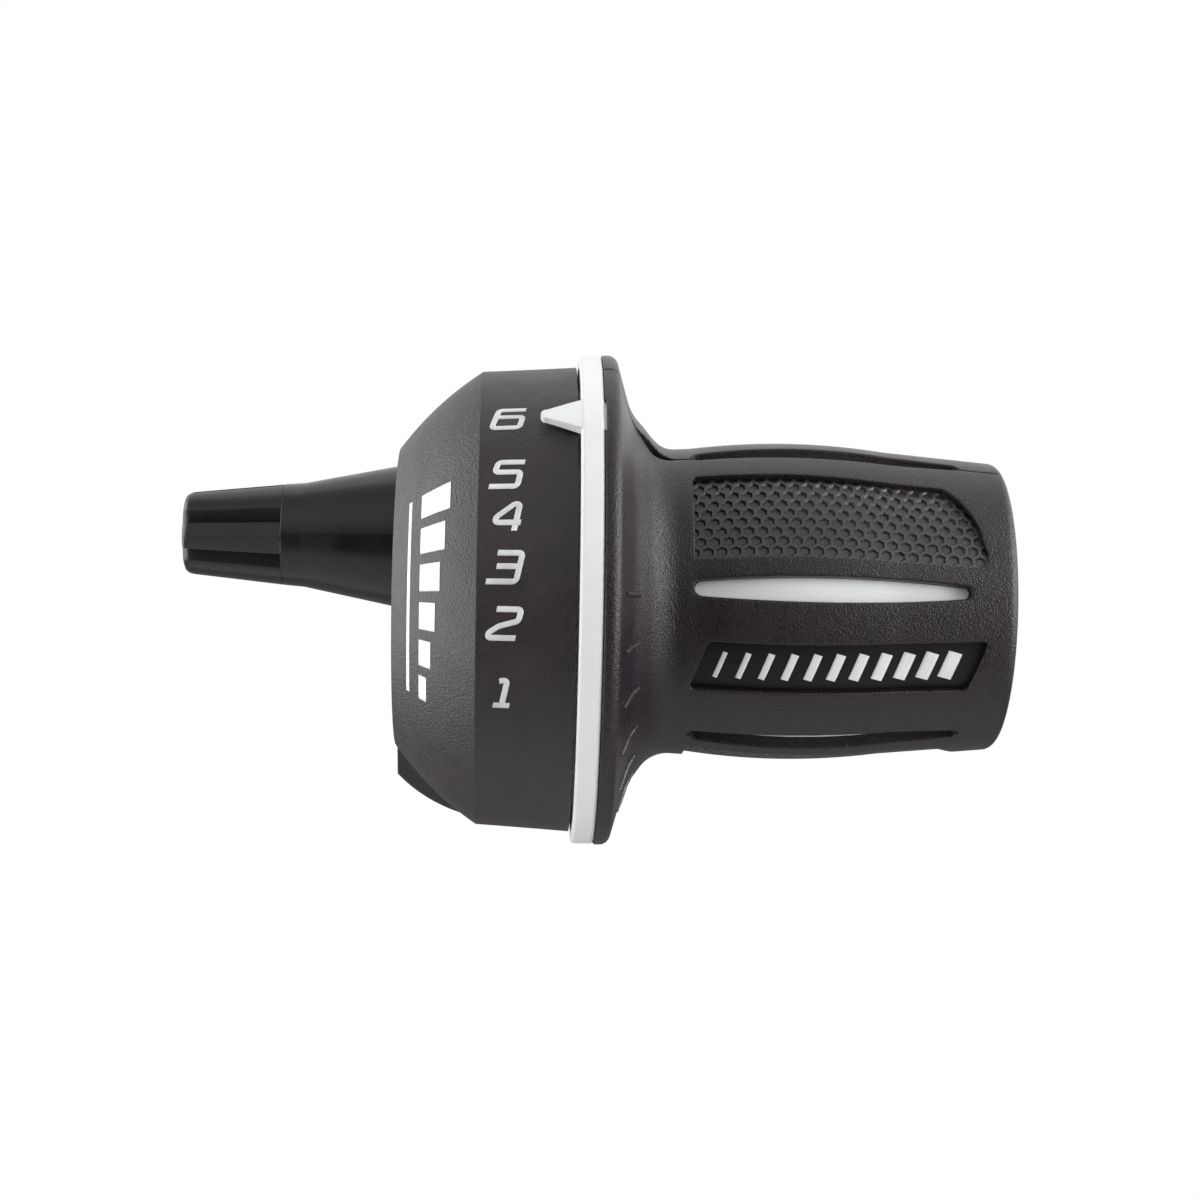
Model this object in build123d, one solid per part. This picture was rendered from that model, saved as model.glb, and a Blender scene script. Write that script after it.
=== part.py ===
"""Indexed twist shifter for a 22.2 mm handlebar: housing, turning grip and cable adjuster.

Millimetres. +X runs along the bar toward its end, -Y faces the rider, +Z is up.
The origin is the centre of the bar's bore at the housing's left face.
Angles are measured around the bar, up from the rider's side (-Y).
"""

import os
from math import cos, hypot, radians, sin, sqrt

from build123d import *

# The bar, the sleeve around it and what turns on the sleeve
bar_diameter = 22.2
bar_gap = 0.1
sleeve_wall = 1.3
run_gap = 0.1
seat_gap = 0.05
end_gap = 0.3
core_wall = 2.5
lip_wall = 0.9
lip_overlap = 0.6
sleeve_recess = 1.2
core_recess = 0.7

# Housing: domed left end, then a slightly tapered wall
housing_length = 20.5
dome_length = 9.6
face_wall = 2.6
shoulder_radius = 26.8
wall_taper = 0.7
dome_bulge = 0.6
shell_wall = 2.0
end_wall = 2.4
edge_round = 0.35

# Clamp: collar, lump with the screw, and the slit that lets them close
collar_wall = 3.8
collar_length = 7.6
clamp_angle = -120.0
clamp_cover = 1.6
clamp_slope = 6.2
clamp_bow = 0.95
clamp_end_wall = 0.8
clamp_round = 0.5
slit_width = 1.6
relief_width = 1.0
relief_span = 200.0
screw_diameter = 4.0
screw_head_diameter = 7.0
screw_head_height = 4.0
screw_key = 3.0
screw_hole_gap = 0.2
screw_x = 4.4
screw_offset = 0.8
screw_overrun = 0.8
screw_key_depth = 2.2
screw_head_recess = 0.6
clamp_washer_thickness = 0.8
nut_width = 7.0
nut_thickness = 3.2
nut_gap = 0.1
nut_seat_wall = 1.4
screw_seat_wall = 2.4

# Cable adjuster: knob with ribs, conical skirt, spring and washer on a brass tube
adjuster_angle = 158.5
skirt_base_radius = 9.1
skirt_top_radius = 6.6
skirt_length = 12.4
skirt_wall = 1.4
skirt_gap = 0.6
skirt_hollow_share = 0.5
knob_root_radius = 6.42
knob_tip_radius = 5.1
knob_length = 14.9
knob_ribs = 6
rib_groove_width = 2.0
rib_groove_depth = 1.0
rider_turn = 90
rib_groove_stop = 2.6
tip_round = 0.9
bar_pass_gap = 0.4
insert_radius = 4.0
insert_length = 15.5
insert_depth = 8.0
cable_hole_radius = 1.0
casing_socket_radius = 2.6
casing_socket_depth = 8.0
thread_run_out = 1.0
adjuster_washer_thickness = 0.7
spring_wire = 0.9
spring_turns = 3.0
boss_length = 12.0
boss_taper = 3.0
guide_wall = 1.6

# Drum, index notches and stops
gear_steps = (17.7, 10.5, 12.6, 13.0, 16.5)
drum_wall = 1.9
drum_recess = 1.0
cable_thickness = 1.2
drum_flange = 1.4
groove_width = 2.4
groove_flare = 0.4
groove_round = 0.5
notch_ring_wall = 4.2
notch_ring_width = 3.3
notch_depth = 0.8
slip_washer_thickness = 0.6
shoulder_thickness = 0.8
stop_lug_angle = -100.0
stop_lug_half_angle = 6.0
stop_lug_reach = 4.6
stop_gap_angle = 0.6
stop_half_angle = 4.0
stop_clearance = 1.2
dog_count = 3
dog_span = 30.0
dog_length = 1.8
dog_gap_angle = 0.5
anchor_radius = 2.0
anchor_angle = 50.0
guide_radius = 1.5
guide_bend = 4.0
guide_overlap = 6.0

# Detent spring
detent_angle = 0.0
leaf_thickness = 0.45
leaf_width = 2.6
leaf_half_span = 8.0
leaf_tab = 1.7
nose_gap = 0.12
seat_rib = 1.3
seat_margin = 0.3
seat_sink = 1.4
seat_roof = 2.1
leaf_gap = 0.08

# White ring with the pointer
ring_width = 2.6
ring_overhang = 1.4
ring_hidden = 1.25
pointer_angle = 46.0
pointer_length = 4.5
pointer_base = 4.8
pointer_tip_radius = 0.75
pointer_thickness = 1.15
pointer_lift = 0.35
pointer_slope = 0.35
pointer_root = 0.6
pointer_key = 0.35
pointer_key_height = 1.6

# Rubber cover: bell, barrel, slots, pads, panels and the seam
rim_width = 1.9
rim_round = 1.5
cover_step = 0.1
bell_slope_share = 0.4336
bell_slope_length = 3.6
bell_length = 9.2
neck_length = 1.65
neck_cover = 2.85
barrel_length = 36.5
barrel_start_cover = 3.0
barrel_peak_run = 12.2
barrel_peak_cover = 3.85
barrel_shoulder_run = 22.9
barrel_shoulder_cover = 3.05
barrel_end_cover = 1.85
cover_end_round = 1.2
slot_angles = (67.5, 5.0, -58.0, -116.4, -174.8, 126.9)
slot_lead = 0.4
slot_end_margin = 5.5
slot_widest_run = 11.2
slot_width = 2.9
slot_start_width = 1.9
slot_end_width = 1.5
slot_depth = 1.5
pad_angles = (33.6, -86.0, 154.0)
pad_half_angle = 17.8
pad_lead = 0.4
pad_short_margin = 7.4
pad_long_margin = 3.6
pad_toe = 2.6
pad_depth = 0.5
panel_angles = (-23.5, -145.6, 97.0)
panel_half_angle = 9.1
panel_lead = 0.7
panel_end_margin = 5.4
panel_slant = 2.0
panel_depth = 0.8
seam_angle = 65.6
seam_width = 0.3
seam_gape = 1.1
seam_floor = 0.6
clip_width = 0.9
clip_reach = 1.3
clip_depth = 0.5
clip_setback = 1.2
clip_gap = 0.1
clip_split = 4.0

# Radii and stations that follow from the sizes above
bore_radius = bar_diameter / 2 + bar_gap
sleeve_radius = bore_radius + sleeve_wall
turn_bore = sleeve_radius + run_gap
core_radius = turn_bore + core_wall
cover_bore = core_radius + seat_gap
collar_radius = bore_radius + collar_wall
face_radius = collar_radius + face_wall
rim_radius = shoulder_radius + wall_taper
ring_radius = rim_radius + ring_overhang
ring_bore = rim_radius - ring_hidden
cover_radius = ring_radius + cover_step
shoulder_start = collar_length + relief_width
shoulder_end = shoulder_start + shoulder_thickness
drum_start = shoulder_end + slip_washer_thickness + 2 * run_gap
drum_end = housing_length - drum_recess
notch_ring_radius = turn_bore + notch_ring_wall
notch_ring_end = drum_start + notch_ring_width
groove_x = (notch_ring_end + drum_end) / 2
groove_floor = turn_bore + drum_wall
cable_radius = groove_floor + cable_thickness / 2
drum_flange_radius = groove_floor + drum_flange
ring_start = housing_length + end_gap
ring_end = ring_start + ring_width
cover_start = ring_end + seat_gap
rim_end = cover_start + rim_width
slope_end = cover_start + bell_slope_length
bell_end = cover_start + bell_length
neck_radius = cover_bore + neck_cover
bell_slope_radius = neck_radius + bell_slope_share * (cover_radius - neck_radius)
barrel_start = bell_end + neck_length
barrel_start_radius = cover_bore + barrel_start_cover
barrel_peak = barrel_start + barrel_peak_run
barrel_peak_radius = cover_bore + barrel_peak_cover
barrel_shoulder = barrel_start + barrel_shoulder_run
barrel_shoulder_radius = cover_bore + barrel_shoulder_cover
barrel_end_radius = cover_bore + barrel_end_cover
overall_length = barrel_start + barrel_length
slot_start = barrel_start - slot_lead
slot_end = overall_length - slot_end_margin
slot_widest = barrel_start + slot_widest_run
pad_start = barrel_start - pad_lead
pad_short_end = overall_length - pad_short_margin
pad_long_end = overall_length - pad_long_margin
panel_start = barrel_start - panel_lead
panel_end = overall_length - panel_end_margin
sleeve_end = overall_length - sleeve_recess
core_end = overall_length - core_recess
twist_range = sum(gear_steps)
adjuster_reach = bore_radius + skirt_base_radius + bar_pass_gap
adjuster_y = -adjuster_reach * cos(radians(adjuster_angle))
adjuster_z = adjuster_reach * sin(radians(adjuster_angle))
insert_start = -insert_length
clip_start = sleeve_end - clip_width - clip_setback


def around(angle):
    """Place for a feature drawn at the top (+Z), turned to an angle around the bar."""
    return Rotation(90 - angle, 0, 0)


def turned(*points):
    """Ring or shaft turned about the bar's axis from a profile of (x, radius) points."""
    return revolve(make_face(Polyline(*points, close=True)), Axis.X)


def tube(start, end, outer, inner):
    """Plain ring about the bar's axis."""
    return turned((start, inner), (start, outer), (end, outer), (end, inner))


def block(x0, x1, y0, y1, z0, z1):
    """Box between two corners."""
    centre = Pos((x0 + x1) / 2, (y0 + y1) / 2, (z0 + z1) / 2)
    return centre * Box(x1 - x0, y1 - y0, z1 - z0)


def sector(start, end, outer, inner, middle, half_angle):
    """Piece of a ring about the bar's axis, centred on an angle."""
    corners = ((start, inner), (start, outer), (end, outer), (end, inner))
    piece = revolve(make_face(Polyline(*corners, close=True)), Axis.X, 2 * half_angle)
    # The profile is drawn at +Y, which is at 180 degrees, and turns toward smaller angles.
    return Rotation(180 - middle - half_angle, 0, 0) * piece


def rims(piece, x, smallest):
    """Round edges of a turned piece at a station along the bar, wider than a radius."""
    circles = piece.edges().filter_by(GeomType.CIRCLE)
    return [edge for edge in circles if abs(edge.center().X - x) < 0.01 and edge.radius > smallest]


def adjuster_place(x):
    """Place on the adjuster's axis, with local +Z along +X."""
    return Pos(x, adjuster_y, adjuster_z) * Rotation(0, 90, 0)


def rod(start, end, radius):
    """Round rod on the adjuster's axis."""
    upright = (Align.CENTER, Align.CENTER, Align.MIN)
    return adjuster_place(start) * Cylinder(radius, end - start, align=upright)


def adjuster_ring(start, end, outer, inner):
    """Plain ring on the adjuster's axis."""
    return rod(start, end, outer) - rod(start - 1, end + 1, inner)


# Housing: outer form, hollow, sleeve and collar in one moulding
chord = hypot(dome_length, shoulder_radius - face_radius)
chord_normal = (-(shoulder_radius - face_radius) / chord, dome_length / chord)
dome_middle = (
    dome_length / 2 + chord_normal[0] * dome_bulge,
    (face_radius + shoulder_radius) / 2 + chord_normal[1] * dome_bulge,
)
dome_arc_radius = (chord**2 / 4 + dome_bulge**2) / (2 * dome_bulge)
dome_centre = (
    dome_middle[0] - chord_normal[0] * dome_arc_radius,
    dome_middle[1] - chord_normal[1] * dome_arc_radius,
)


def inside_dome(x):
    """Radius of the hollow under the dome at a station along the bar."""
    inner = dome_arc_radius - shell_wall
    return dome_centre[1] + sqrt(inner**2 - (x - dome_centre[0]) ** 2)


outer_edges = [
    Line((0, 0), (0, face_radius)),
    ThreePointArc((0, face_radius), dome_middle, (dome_length, shoulder_radius)),
    Line((dome_length, shoulder_radius), (housing_length, rim_radius)),
    Line((housing_length, rim_radius), (housing_length, 0)),
    Line((housing_length, 0), (0, 0)),
]
outer_form = revolve(make_face(outer_edges), Axis.X)

hollow_middle = (end_wall + dome_length) / 2
hollow_low = (end_wall, inside_dome(end_wall))
hollow_high = (dome_length, inside_dome(dome_length))
hollow_mouth = (housing_length + 1, rim_radius - shell_wall)
hollow_edges = [
    Line((end_wall, sleeve_radius), hollow_low),
    ThreePointArc(hollow_low, (hollow_middle, inside_dome(hollow_middle)), hollow_high),
    Line(hollow_high, hollow_mouth),
    Line(hollow_mouth, (housing_length + 1, sleeve_radius)),
    Line((housing_length + 1, sleeve_radius), (end_wall, sleeve_radius)),
]
hollow = revolve(make_face(hollow_edges), Axis.X)

# Clamp screw and nut, measured across the slit and drawn at the top
screw_height = collar_radius + screw_offset
screw_hole = screw_diameter / 2 + screw_hole_gap
head_hole = screw_head_diameter / 2 + screw_hole_gap
seat_y = -slit_width / 2 - screw_seat_wall
head_y = seat_y - clamp_washer_thickness
head_end_y = head_y - screw_head_height
nut_y = slit_width / 2 + nut_seat_wall
screw_end_y = nut_y + nut_thickness + screw_overrun
clamp_face_height = screw_height + nut_width / 2 + clamp_cover
clamp_back_height = clamp_face_height + clamp_slope
clamp_front_reach = screw_end_y + clamp_end_wall
clamp_rear_reach = screw_head_recess - head_end_y

# The lump that carries the clamp screw, drawn at the top and turned to its place
lump_root = (bore_radius + sleeve_radius) / 2
lump_run = hypot(dome_length, clamp_slope)
lump_crest = (
    dome_length / 2 - clamp_bow * clamp_slope / lump_run,
    (clamp_face_height + clamp_back_height) / 2 + clamp_bow * dome_length / lump_run,
)
lump_top = ThreePointArc((0, clamp_face_height), lump_crest, (dome_length, clamp_back_height))
lump_sides = Polyline(
    (dome_length, clamp_back_height),
    (dome_length, lump_root),
    (0, lump_root),
    (0, clamp_face_height),
)
lump_profile = make_face(lump_top + lump_sides)
lump_sheet = Plane.XZ * lump_profile
lump = extrude(lump_sheet, clamp_rear_reach, dir=(0, -1, 0))
lump += extrude(lump_sheet, clamp_front_reach, dir=(0, 1, 0))
upper_edges = lump.edges().filter_by(lambda edge: edge.center().Z > clamp_face_height - 0.01)
open_edges = upper_edges.filter_by(lambda edge: edge.center().X < dome_length - 0.01)
lump = fillet(open_edges, clamp_round)
clamp_block = around(clamp_angle) * lump

# Boss behind the adjuster, a cone that runs back into the wall
boss = adjuster_place(0) * Cone(
    skirt_base_radius,
    skirt_base_radius - boss_taper,
    boss_length,
    align=(Align.CENTER, Align.CENTER, Align.MIN),
)
guide_column = rod(0, shoulder_start, insert_radius + guide_wall)

housing = (outer_form + boss) - hollow
housing += tube(0, sleeve_end, sleeve_radius, bore_radius)
housing += tube(0, collar_length, collar_radius, bore_radius)
housing += tube(shoulder_start, shoulder_end, collar_radius, bore_radius)
housing += clamp_block
housing += guide_column

# Room in which the drum, its lug and the washer turn
lug_radius = drum_flange_radius + stop_lug_reach
housing -= tube(shoulder_end, housing_length + 1, lug_radius + end_gap, sleeve_radius)

# Stops for the drum's lug, at both ends of the twist
stop_reach = stop_lug_half_angle + stop_gap_angle + stop_half_angle
stop_low = stop_lug_angle - twist_range - stop_reach
stop_high = stop_lug_angle + stop_reach
stop_inner = drum_flange_radius + stop_clearance
stop_start = drum_end - drum_flange
stop_outer = rim_radius - shell_wall / 2
for stop_angle in (stop_low, stop_high):
    housing += sector(stop_start, drum_end, stop_outer, stop_inner, stop_angle, stop_half_angle)

# Seats for the two ends of the detent spring
leaf_nose_radius = notch_ring_radius - notch_depth + nose_gap
seat_top = sqrt(inside_dome(dome_length) ** 2 - leaf_half_span**2) + seat_sink
leaf_seat_z = seat_top - seat_roof - leaf_gap - leaf_tab
leaf_rise = leaf_seat_z - leaf_nose_radius
leaf_start = drum_start + (notch_ring_width - leaf_width) / 2
leaf_end = leaf_start + leaf_width
leaf_room = leaf_thickness / 2 + leaf_gap
seat_start = leaf_start - seat_margin
seat_end = leaf_end + seat_margin
seat_bottom = leaf_seat_z + leaf_thickness
tab_end = seat_top - seat_roof
for side in (-1, 1):
    tab_y = side * leaf_half_span
    seat_half = leaf_room + seat_rib
    seat = block(seat_start, seat_end, tab_y - seat_half, tab_y + seat_half, seat_bottom, seat_top)
    tab_slot = block(seat_start - 1, seat_end + 1, tab_y - leaf_room, tab_y + leaf_room, 0, tab_end)
    housing += around(detent_angle) * (seat - tab_slot)

# Holes: bar, cable, slit, relief, screw, washer seat and nut pocket


def cross_rod(y0, y1, radius):
    """Rod across the clamp, drawn at the top, along Y."""
    middle = Pos(screw_x, (y0 + y1) / 2, screw_height)
    return middle * Rotation(90, 0, 0) * Cylinder(radius, y1 - y0)


housing -= tube(-1, sleeve_end + 1, bore_radius, 0)
slit_half = slit_width / 2
relief_outer = collar_radius + seat_gap
relief_inner = bore_radius - 1
housing -= around(clamp_angle) * block(-1, shoulder_start, -slit_half, slit_half, 0, 2 * ring_radius)
housing -= sector(collar_length, shoulder_start, relief_outer, relief_inner, clamp_angle, relief_span / 2)
housing -= around(clamp_angle) * cross_rod(seat_y - 1, screw_end_y + clamp_end_wall / 2, screw_hole)
housing -= around(clamp_angle) * cross_rod(-2 * clamp_rear_reach, seat_y, head_hole)
nut_half = nut_width / 2 + nut_gap
nut_pocket = block(
    -1,
    screw_x + nut_half,
    nut_y,
    nut_y + nut_thickness + nut_gap,
    screw_height - nut_half,
    screw_height + nut_half,
)
housing -= around(clamp_angle) * nut_pocket
housing -= rod(-1, insert_depth + seat_gap, insert_radius + seat_gap)
housing -= rod(0, housing_length - end_gap, guide_radius + seat_gap)
clip_floor = sleeve_radius - clip_depth
clip_end = clip_start + clip_width
housing -= tube(clip_start - clip_gap, clip_end + clip_gap, sleeve_radius + 1, clip_floor)

# Clamp screw, washer and square nut
screw = cross_rod(head_y, screw_end_y, screw_diameter / 2)
screw += cross_rod(head_end_y, head_y, screw_head_diameter / 2)
key_sheet = Pos(screw_x, head_end_y, screw_height) * Rotation(90, 0, 0)
key_sheet *= RegularPolygon(screw_key / 2, 6, major_radius=False)
screw -= extrude(key_sheet, screw_key_depth, dir=(0, 1, 0))
clamp_screw = around(clamp_angle) * screw
clamp_washer_ring = cross_rod(head_y, seat_y, screw_head_diameter / 2)
clamp_washer_ring -= cross_rod(head_y - 1, seat_y + 1, screw_diameter / 2 + seat_gap)
clamp_washer = around(clamp_angle) * clamp_washer_ring
nut = block(
    screw_x - nut_width / 2,
    screw_x + nut_width / 2,
    nut_y,
    nut_y + nut_thickness,
    screw_height - nut_width / 2,
    screw_height + nut_width / 2,
)
nut -= cross_rod(nut_y - 1, nut_y + nut_thickness + 1, screw_diameter / 2 + seat_gap)
clamp_nut = around(clamp_angle) * nut

# Brass tube pressed into the housing, and the elbow that leads the cable to it
thread_insert = adjuster_ring(insert_start, insert_depth, insert_radius, guide_radius + 2 * seat_gap)
guide_end_x = groove_x - guide_bend
tangent_length = sqrt(adjuster_reach**2 - cable_radius**2)
# Unit direction from the drum's tangent point to the adjuster's axis, seen along the bar
reach_y = adjuster_y / adjuster_reach
reach_z = adjuster_z / adjuster_reach
side_share = cable_radius / adjuster_reach
along_share = tangent_length / adjuster_reach
exit_y = along_share * reach_y + side_share * reach_z
exit_z = along_share * reach_z - side_share * reach_y
guide_plane = Plane(
    origin=(0, adjuster_y, adjuster_z),
    x_dir=(1, 0, 0),
    z_dir=Vector(1, 0, 0).cross(Vector(0, -exit_y, -exit_z)),
)
guide_path = guide_plane * (
    Line((insert_depth - guide_overlap, 0), (guide_end_x, 0))
    + CenterArc((guide_end_x, guide_bend), guide_bend, -90, 80)
)
guide_mouth = Plane(origin=guide_path @ 0, z_dir=guide_path % 0)
guide_solid = sweep(guide_mouth * Circle(guide_radius), path=guide_path)
guide_bore = sweep(guide_mouth * Circle(cable_thickness / 2 + 0.2), path=guide_path)
cable_guide = guide_solid - guide_bore

# Adjuster: ribbed knob and hollow skirt in one moulding
skirt_base = -skirt_gap
skirt_top = skirt_base - skirt_length
knob_tip = skirt_top - knob_length
thread_bore = insert_radius + run_gap
skirt_floor = skirt_base - skirt_length * skirt_hollow_share
slope = (skirt_base_radius - skirt_top_radius) / skirt_length
skirt_inner_base = skirt_base_radius - skirt_wall
skirt_inner_floor = skirt_inner_base - slope * (skirt_base - skirt_floor)
thread_end = insert_start - thread_run_out
socket_floor = knob_tip + casing_socket_depth
adjuster_points = [
    (skirt_base, skirt_base_radius),
    (skirt_top, skirt_top_radius),
    (skirt_top, knob_root_radius),
    (knob_tip + tip_round, knob_tip_radius),
    (knob_tip, knob_tip_radius - tip_round),
    (knob_tip, casing_socket_radius),
    (socket_floor, casing_socket_radius),
    (socket_floor, cable_hole_radius),
    (thread_end, cable_hole_radius),
    (thread_end, thread_bore),
    (skirt_floor, thread_bore),
    (skirt_floor, skirt_inner_floor),
    (skirt_base, skirt_inner_base),
]
knob = turned(*adjuster_points)
groove_run = knob_length - rib_groove_stop
groove_tilt = (knob_root_radius - knob_tip_radius) / knob_length
groove_top = skirt_top - rib_groove_stop
groove_floor_tip = knob_tip_radius - rib_groove_depth
groove_floor_top = groove_floor_tip + groove_tilt * groove_run
rib_groove_sheet = make_face(
    Polyline(
        (knob_tip - 1, groove_floor_tip),
        (groove_top, groove_floor_top),
        (groove_top, 2 * skirt_base_radius),
        (knob_tip - 1, 2 * skirt_base_radius),
        close=True,
    )
)
rib_groove = extrude(Plane.XZ * rib_groove_sheet, rib_groove_width / 2, both=True)
groove_step = 360 / knob_ribs
for rib in range(knob_ribs):
    knob -= Rotation(rider_turn + groove_step * (rib + 0.5), 0, 0) * rib_groove
barrel_adjuster = Pos(0, adjuster_y, adjuster_z) * knob

# Washer at the bottom of the skirt and the spring that presses on it
washer_end = skirt_floor + adjuster_washer_thickness
washer_outer = skirt_inner_floor - end_gap
washer_inner = insert_radius + end_gap / 2
adjuster_washer = adjuster_ring(skirt_floor, washer_end, washer_outer, washer_inner)
spring_radius = (insert_radius + skirt_inner_floor) / 2
spring_start = washer_end + run_gap
spring_length = -run_gap - spring_start
spring_rise = spring_length - spring_wire
spring_path = Helix(spring_rise / spring_turns, spring_rise, spring_radius)
spring_mouth = Plane(origin=spring_path @ 0, z_dir=spring_path % 0, x_dir=(1, 0, 0))
coil = sweep(spring_mouth * Rectangle(spring_wire, spring_wire), path=spring_path, is_frenet=True)
adjuster_spring = adjuster_place(spring_start + spring_wire / 2) * coil

# Washer between the housing's shoulder and the drum
slip_start = shoulder_end + run_gap
notch_floor = notch_ring_radius - notch_depth
slip_radius = notch_floor + seat_gap
slip_washer = tube(slip_start, slip_start + slip_washer_thickness, slip_radius, turn_bore)

# Drum: index notches, cable groove, stop lug, anchor pocket and driving dogs
groove_low = groove_x - groove_width / 2
groove_high = groove_x + groove_width / 2
cable_drum = turned(
    (drum_start, turn_bore),
    (drum_start, notch_ring_radius),
    (notch_ring_end, notch_ring_radius),
    (notch_ring_end, drum_flange_radius),
    (groove_low - groove_flare, drum_flange_radius),
    (groove_low + groove_round, groove_floor),
    (groove_high - groove_round, groove_floor),
    (groove_high + groove_flare, drum_flange_radius),
    (drum_end, drum_flange_radius),
    (drum_end, turn_bore),
)
notch_rise = notch_depth + 1
notch_half = leaf_half_span / leaf_rise * notch_rise
notch_mouth = notch_floor + notch_rise
notch_sheet = make_face(
    Polyline((0, notch_floor), (notch_half, notch_mouth), (-notch_half, notch_mouth), close=True)
)
notch_cut = extrude(Plane.YZ * notch_sheet, notch_ring_end - drum_start + 1)
notch_cut = Pos(drum_start - 1, 0, 0) * notch_cut
notch_angle = detent_angle
cable_drum -= around(notch_angle) * notch_cut
for step in gear_steps:
    notch_angle += step
    cable_drum -= around(notch_angle) * notch_cut
cable_drum += sector(stop_start, drum_end, lug_radius, groove_floor, stop_lug_angle, stop_lug_half_angle)
anchor = Pos(groove_low, 0, cable_radius + run_gap) * Rotation(0, 90, 0)
anchor *= Cylinder(anchor_radius, drum_end, align=(Align.CENTER, Align.CENTER, Align.MIN))
cable_drum -= around(anchor_angle) * anchor
dog_end = drum_end + dog_length
dog_radius = core_radius - seat_gap
dog_angles = [360 * dog / dog_count for dog in range(dog_count)]
for dog_angle in dog_angles:
    cable_drum += sector(drum_end, dog_end, dog_radius, turn_bore, dog_angle, dog_span / 2)

# White core: tube, flange with a dust lip, ribs that fill the bottom of the slots
hub_start = drum_end + seat_gap
flange_start = ring_start + seat_gap
flange_end = ring_end - seat_gap
flange_radius = ring_bore - seat_gap
lip_outer = rim_radius - shell_wall - 2 * end_gap
lip_inner = lip_outer - lip_wall
lip_start = housing_length - lip_overlap
clip_bore = sleeve_radius + clip_reach + end_gap
grip_core = turned(
    (hub_start, turn_bore),
    (hub_start, core_radius),
    (flange_start, core_radius),
    (flange_start, lip_inner),
    (lip_start, lip_inner),
    (lip_start, lip_outer),
    (flange_start, lip_outer),
    (flange_start, flange_radius),
    (flange_end, flange_radius),
    (flange_end, core_radius),
    (core_end, core_radius),
    (core_end, clip_bore),
    (clip_start - end_gap, clip_bore),
    (clip_start - end_gap, turn_bore),
)
dog_gap_half = dog_span / 2 + dog_gap_angle
dog_gap_end = dog_end + seat_gap
for dog_angle in dog_angles:
    grip_core -= sector(hub_start - 1, dog_gap_end, core_radius + 1, turn_bore - 1, dog_angle, dog_gap_half)

# Barrel of the cover: two arcs and a straight run, also used for the recesses
barrel_run_slope = (barrel_shoulder_radius - barrel_end_radius) / (overall_length - barrel_shoulder)


def barrel_solid(inset):
    """The barrel's outside pulled in by an inset, as a solid down to the axis."""
    start = (bell_end - 2 * neck_length, neck_radius - inset)
    first = (barrel_start, barrel_start_radius - inset)
    peak = (barrel_peak, barrel_peak_radius - inset)
    shoulder = (barrel_shoulder, barrel_shoulder_radius - inset)
    last = (overall_length + 1, barrel_end_radius - inset - barrel_run_slope)
    edges = [
        Line((start[0], 0), start),
        Line(start, first),
        ThreePointArc(first, peak, shoulder),
        Line(shoulder, last),
        Line(last, (last[0], 0)),
        Line((last[0], 0), (start[0], 0)),
    ]
    return revolve(make_face(edges), Axis.X)


def slot_prism(shrink):
    """Long lens with round ends, drawn at the top and pushed out along +Z."""
    first = slot_start_width / 2 - shrink
    middle = slot_width / 2 - shrink
    last = slot_end_width / 2 - shrink
    left = slot_start + slot_start_width / 2
    right = slot_end - slot_end_width / 2
    edges = [
        ThreePointArc((left, first), (slot_widest, middle), (right, last)),
        ThreePointArc((right, last), (right + last, 0), (right, -last)),
        ThreePointArc((right, -last), (slot_widest, -middle), (left, -first)),
        ThreePointArc((left, -first), (left - first, 0), (left, first)),
    ]
    return extrude(make_face(edges), 3 * ring_radius, dir=(0, 0, 1))


rib_form = barrel_solid(slot_depth) - tube(0, 2 * overall_length, core_radius - seat_gap, 0)
core_rib = slot_prism(2 * seat_gap) & rib_form
for slot_angle in slot_angles:
    grip_core += around(slot_angle) * core_rib

# White ring with the pointer that runs over the numbered wall
indicator_ring = tube(ring_start, ring_end, ring_radius, ring_bore)
outer_rims = rims(indicator_ring, ring_start, rim_radius)
outer_rims += rims(indicator_ring, ring_end, rim_radius)
indicator_ring = fillet(outer_rims, edge_round)
pointer_back = ring_start + pointer_root
pointer_under = rim_radius + pointer_lift
pointer_top = min(pointer_under + pointer_thickness, ring_radius - seat_gap)
pointer_tip = ring_start - pointer_length
key_half = pointer_base / 2
tip_centre = pointer_tip + pointer_tip_radius
pointer_sheet = make_face(
    [
        Line((pointer_back, -key_half), (ring_start, -key_half)),
        Line((ring_start, -key_half), (tip_centre, -pointer_tip_radius)),
        ThreePointArc((tip_centre, -pointer_tip_radius), (pointer_tip, 0), (tip_centre, pointer_tip_radius)),
        Line((tip_centre, pointer_tip_radius), (ring_start, key_half)),
        Line((ring_start, key_half), (pointer_back, key_half)),
        Line((pointer_back, key_half), (pointer_back, -key_half)),
    ]
)
pointer_shell = turned(
    (pointer_tip - 1, pointer_under),
    (pointer_tip - 1, pointer_top - pointer_slope),
    (pointer_back, pointer_top),
    (pointer_back, pointer_under),
)
pointer = extrude(pointer_sheet, 2 * ring_radius, dir=(0, 0, 1)) & pointer_shell
indicator_ring += around(pointer_angle) * pointer
key_end = ring_end + pointer_key
key_bottom = ring_radius - pointer_key_height
key = block(ring_end - edge_round, key_end, -key_half, key_half, 0, 2 * ring_radius)
key = key & tube(ring_start, ring_end + 1, ring_radius - edge_round, key_bottom)
indicator_ring += around(pointer_angle) * key

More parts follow.
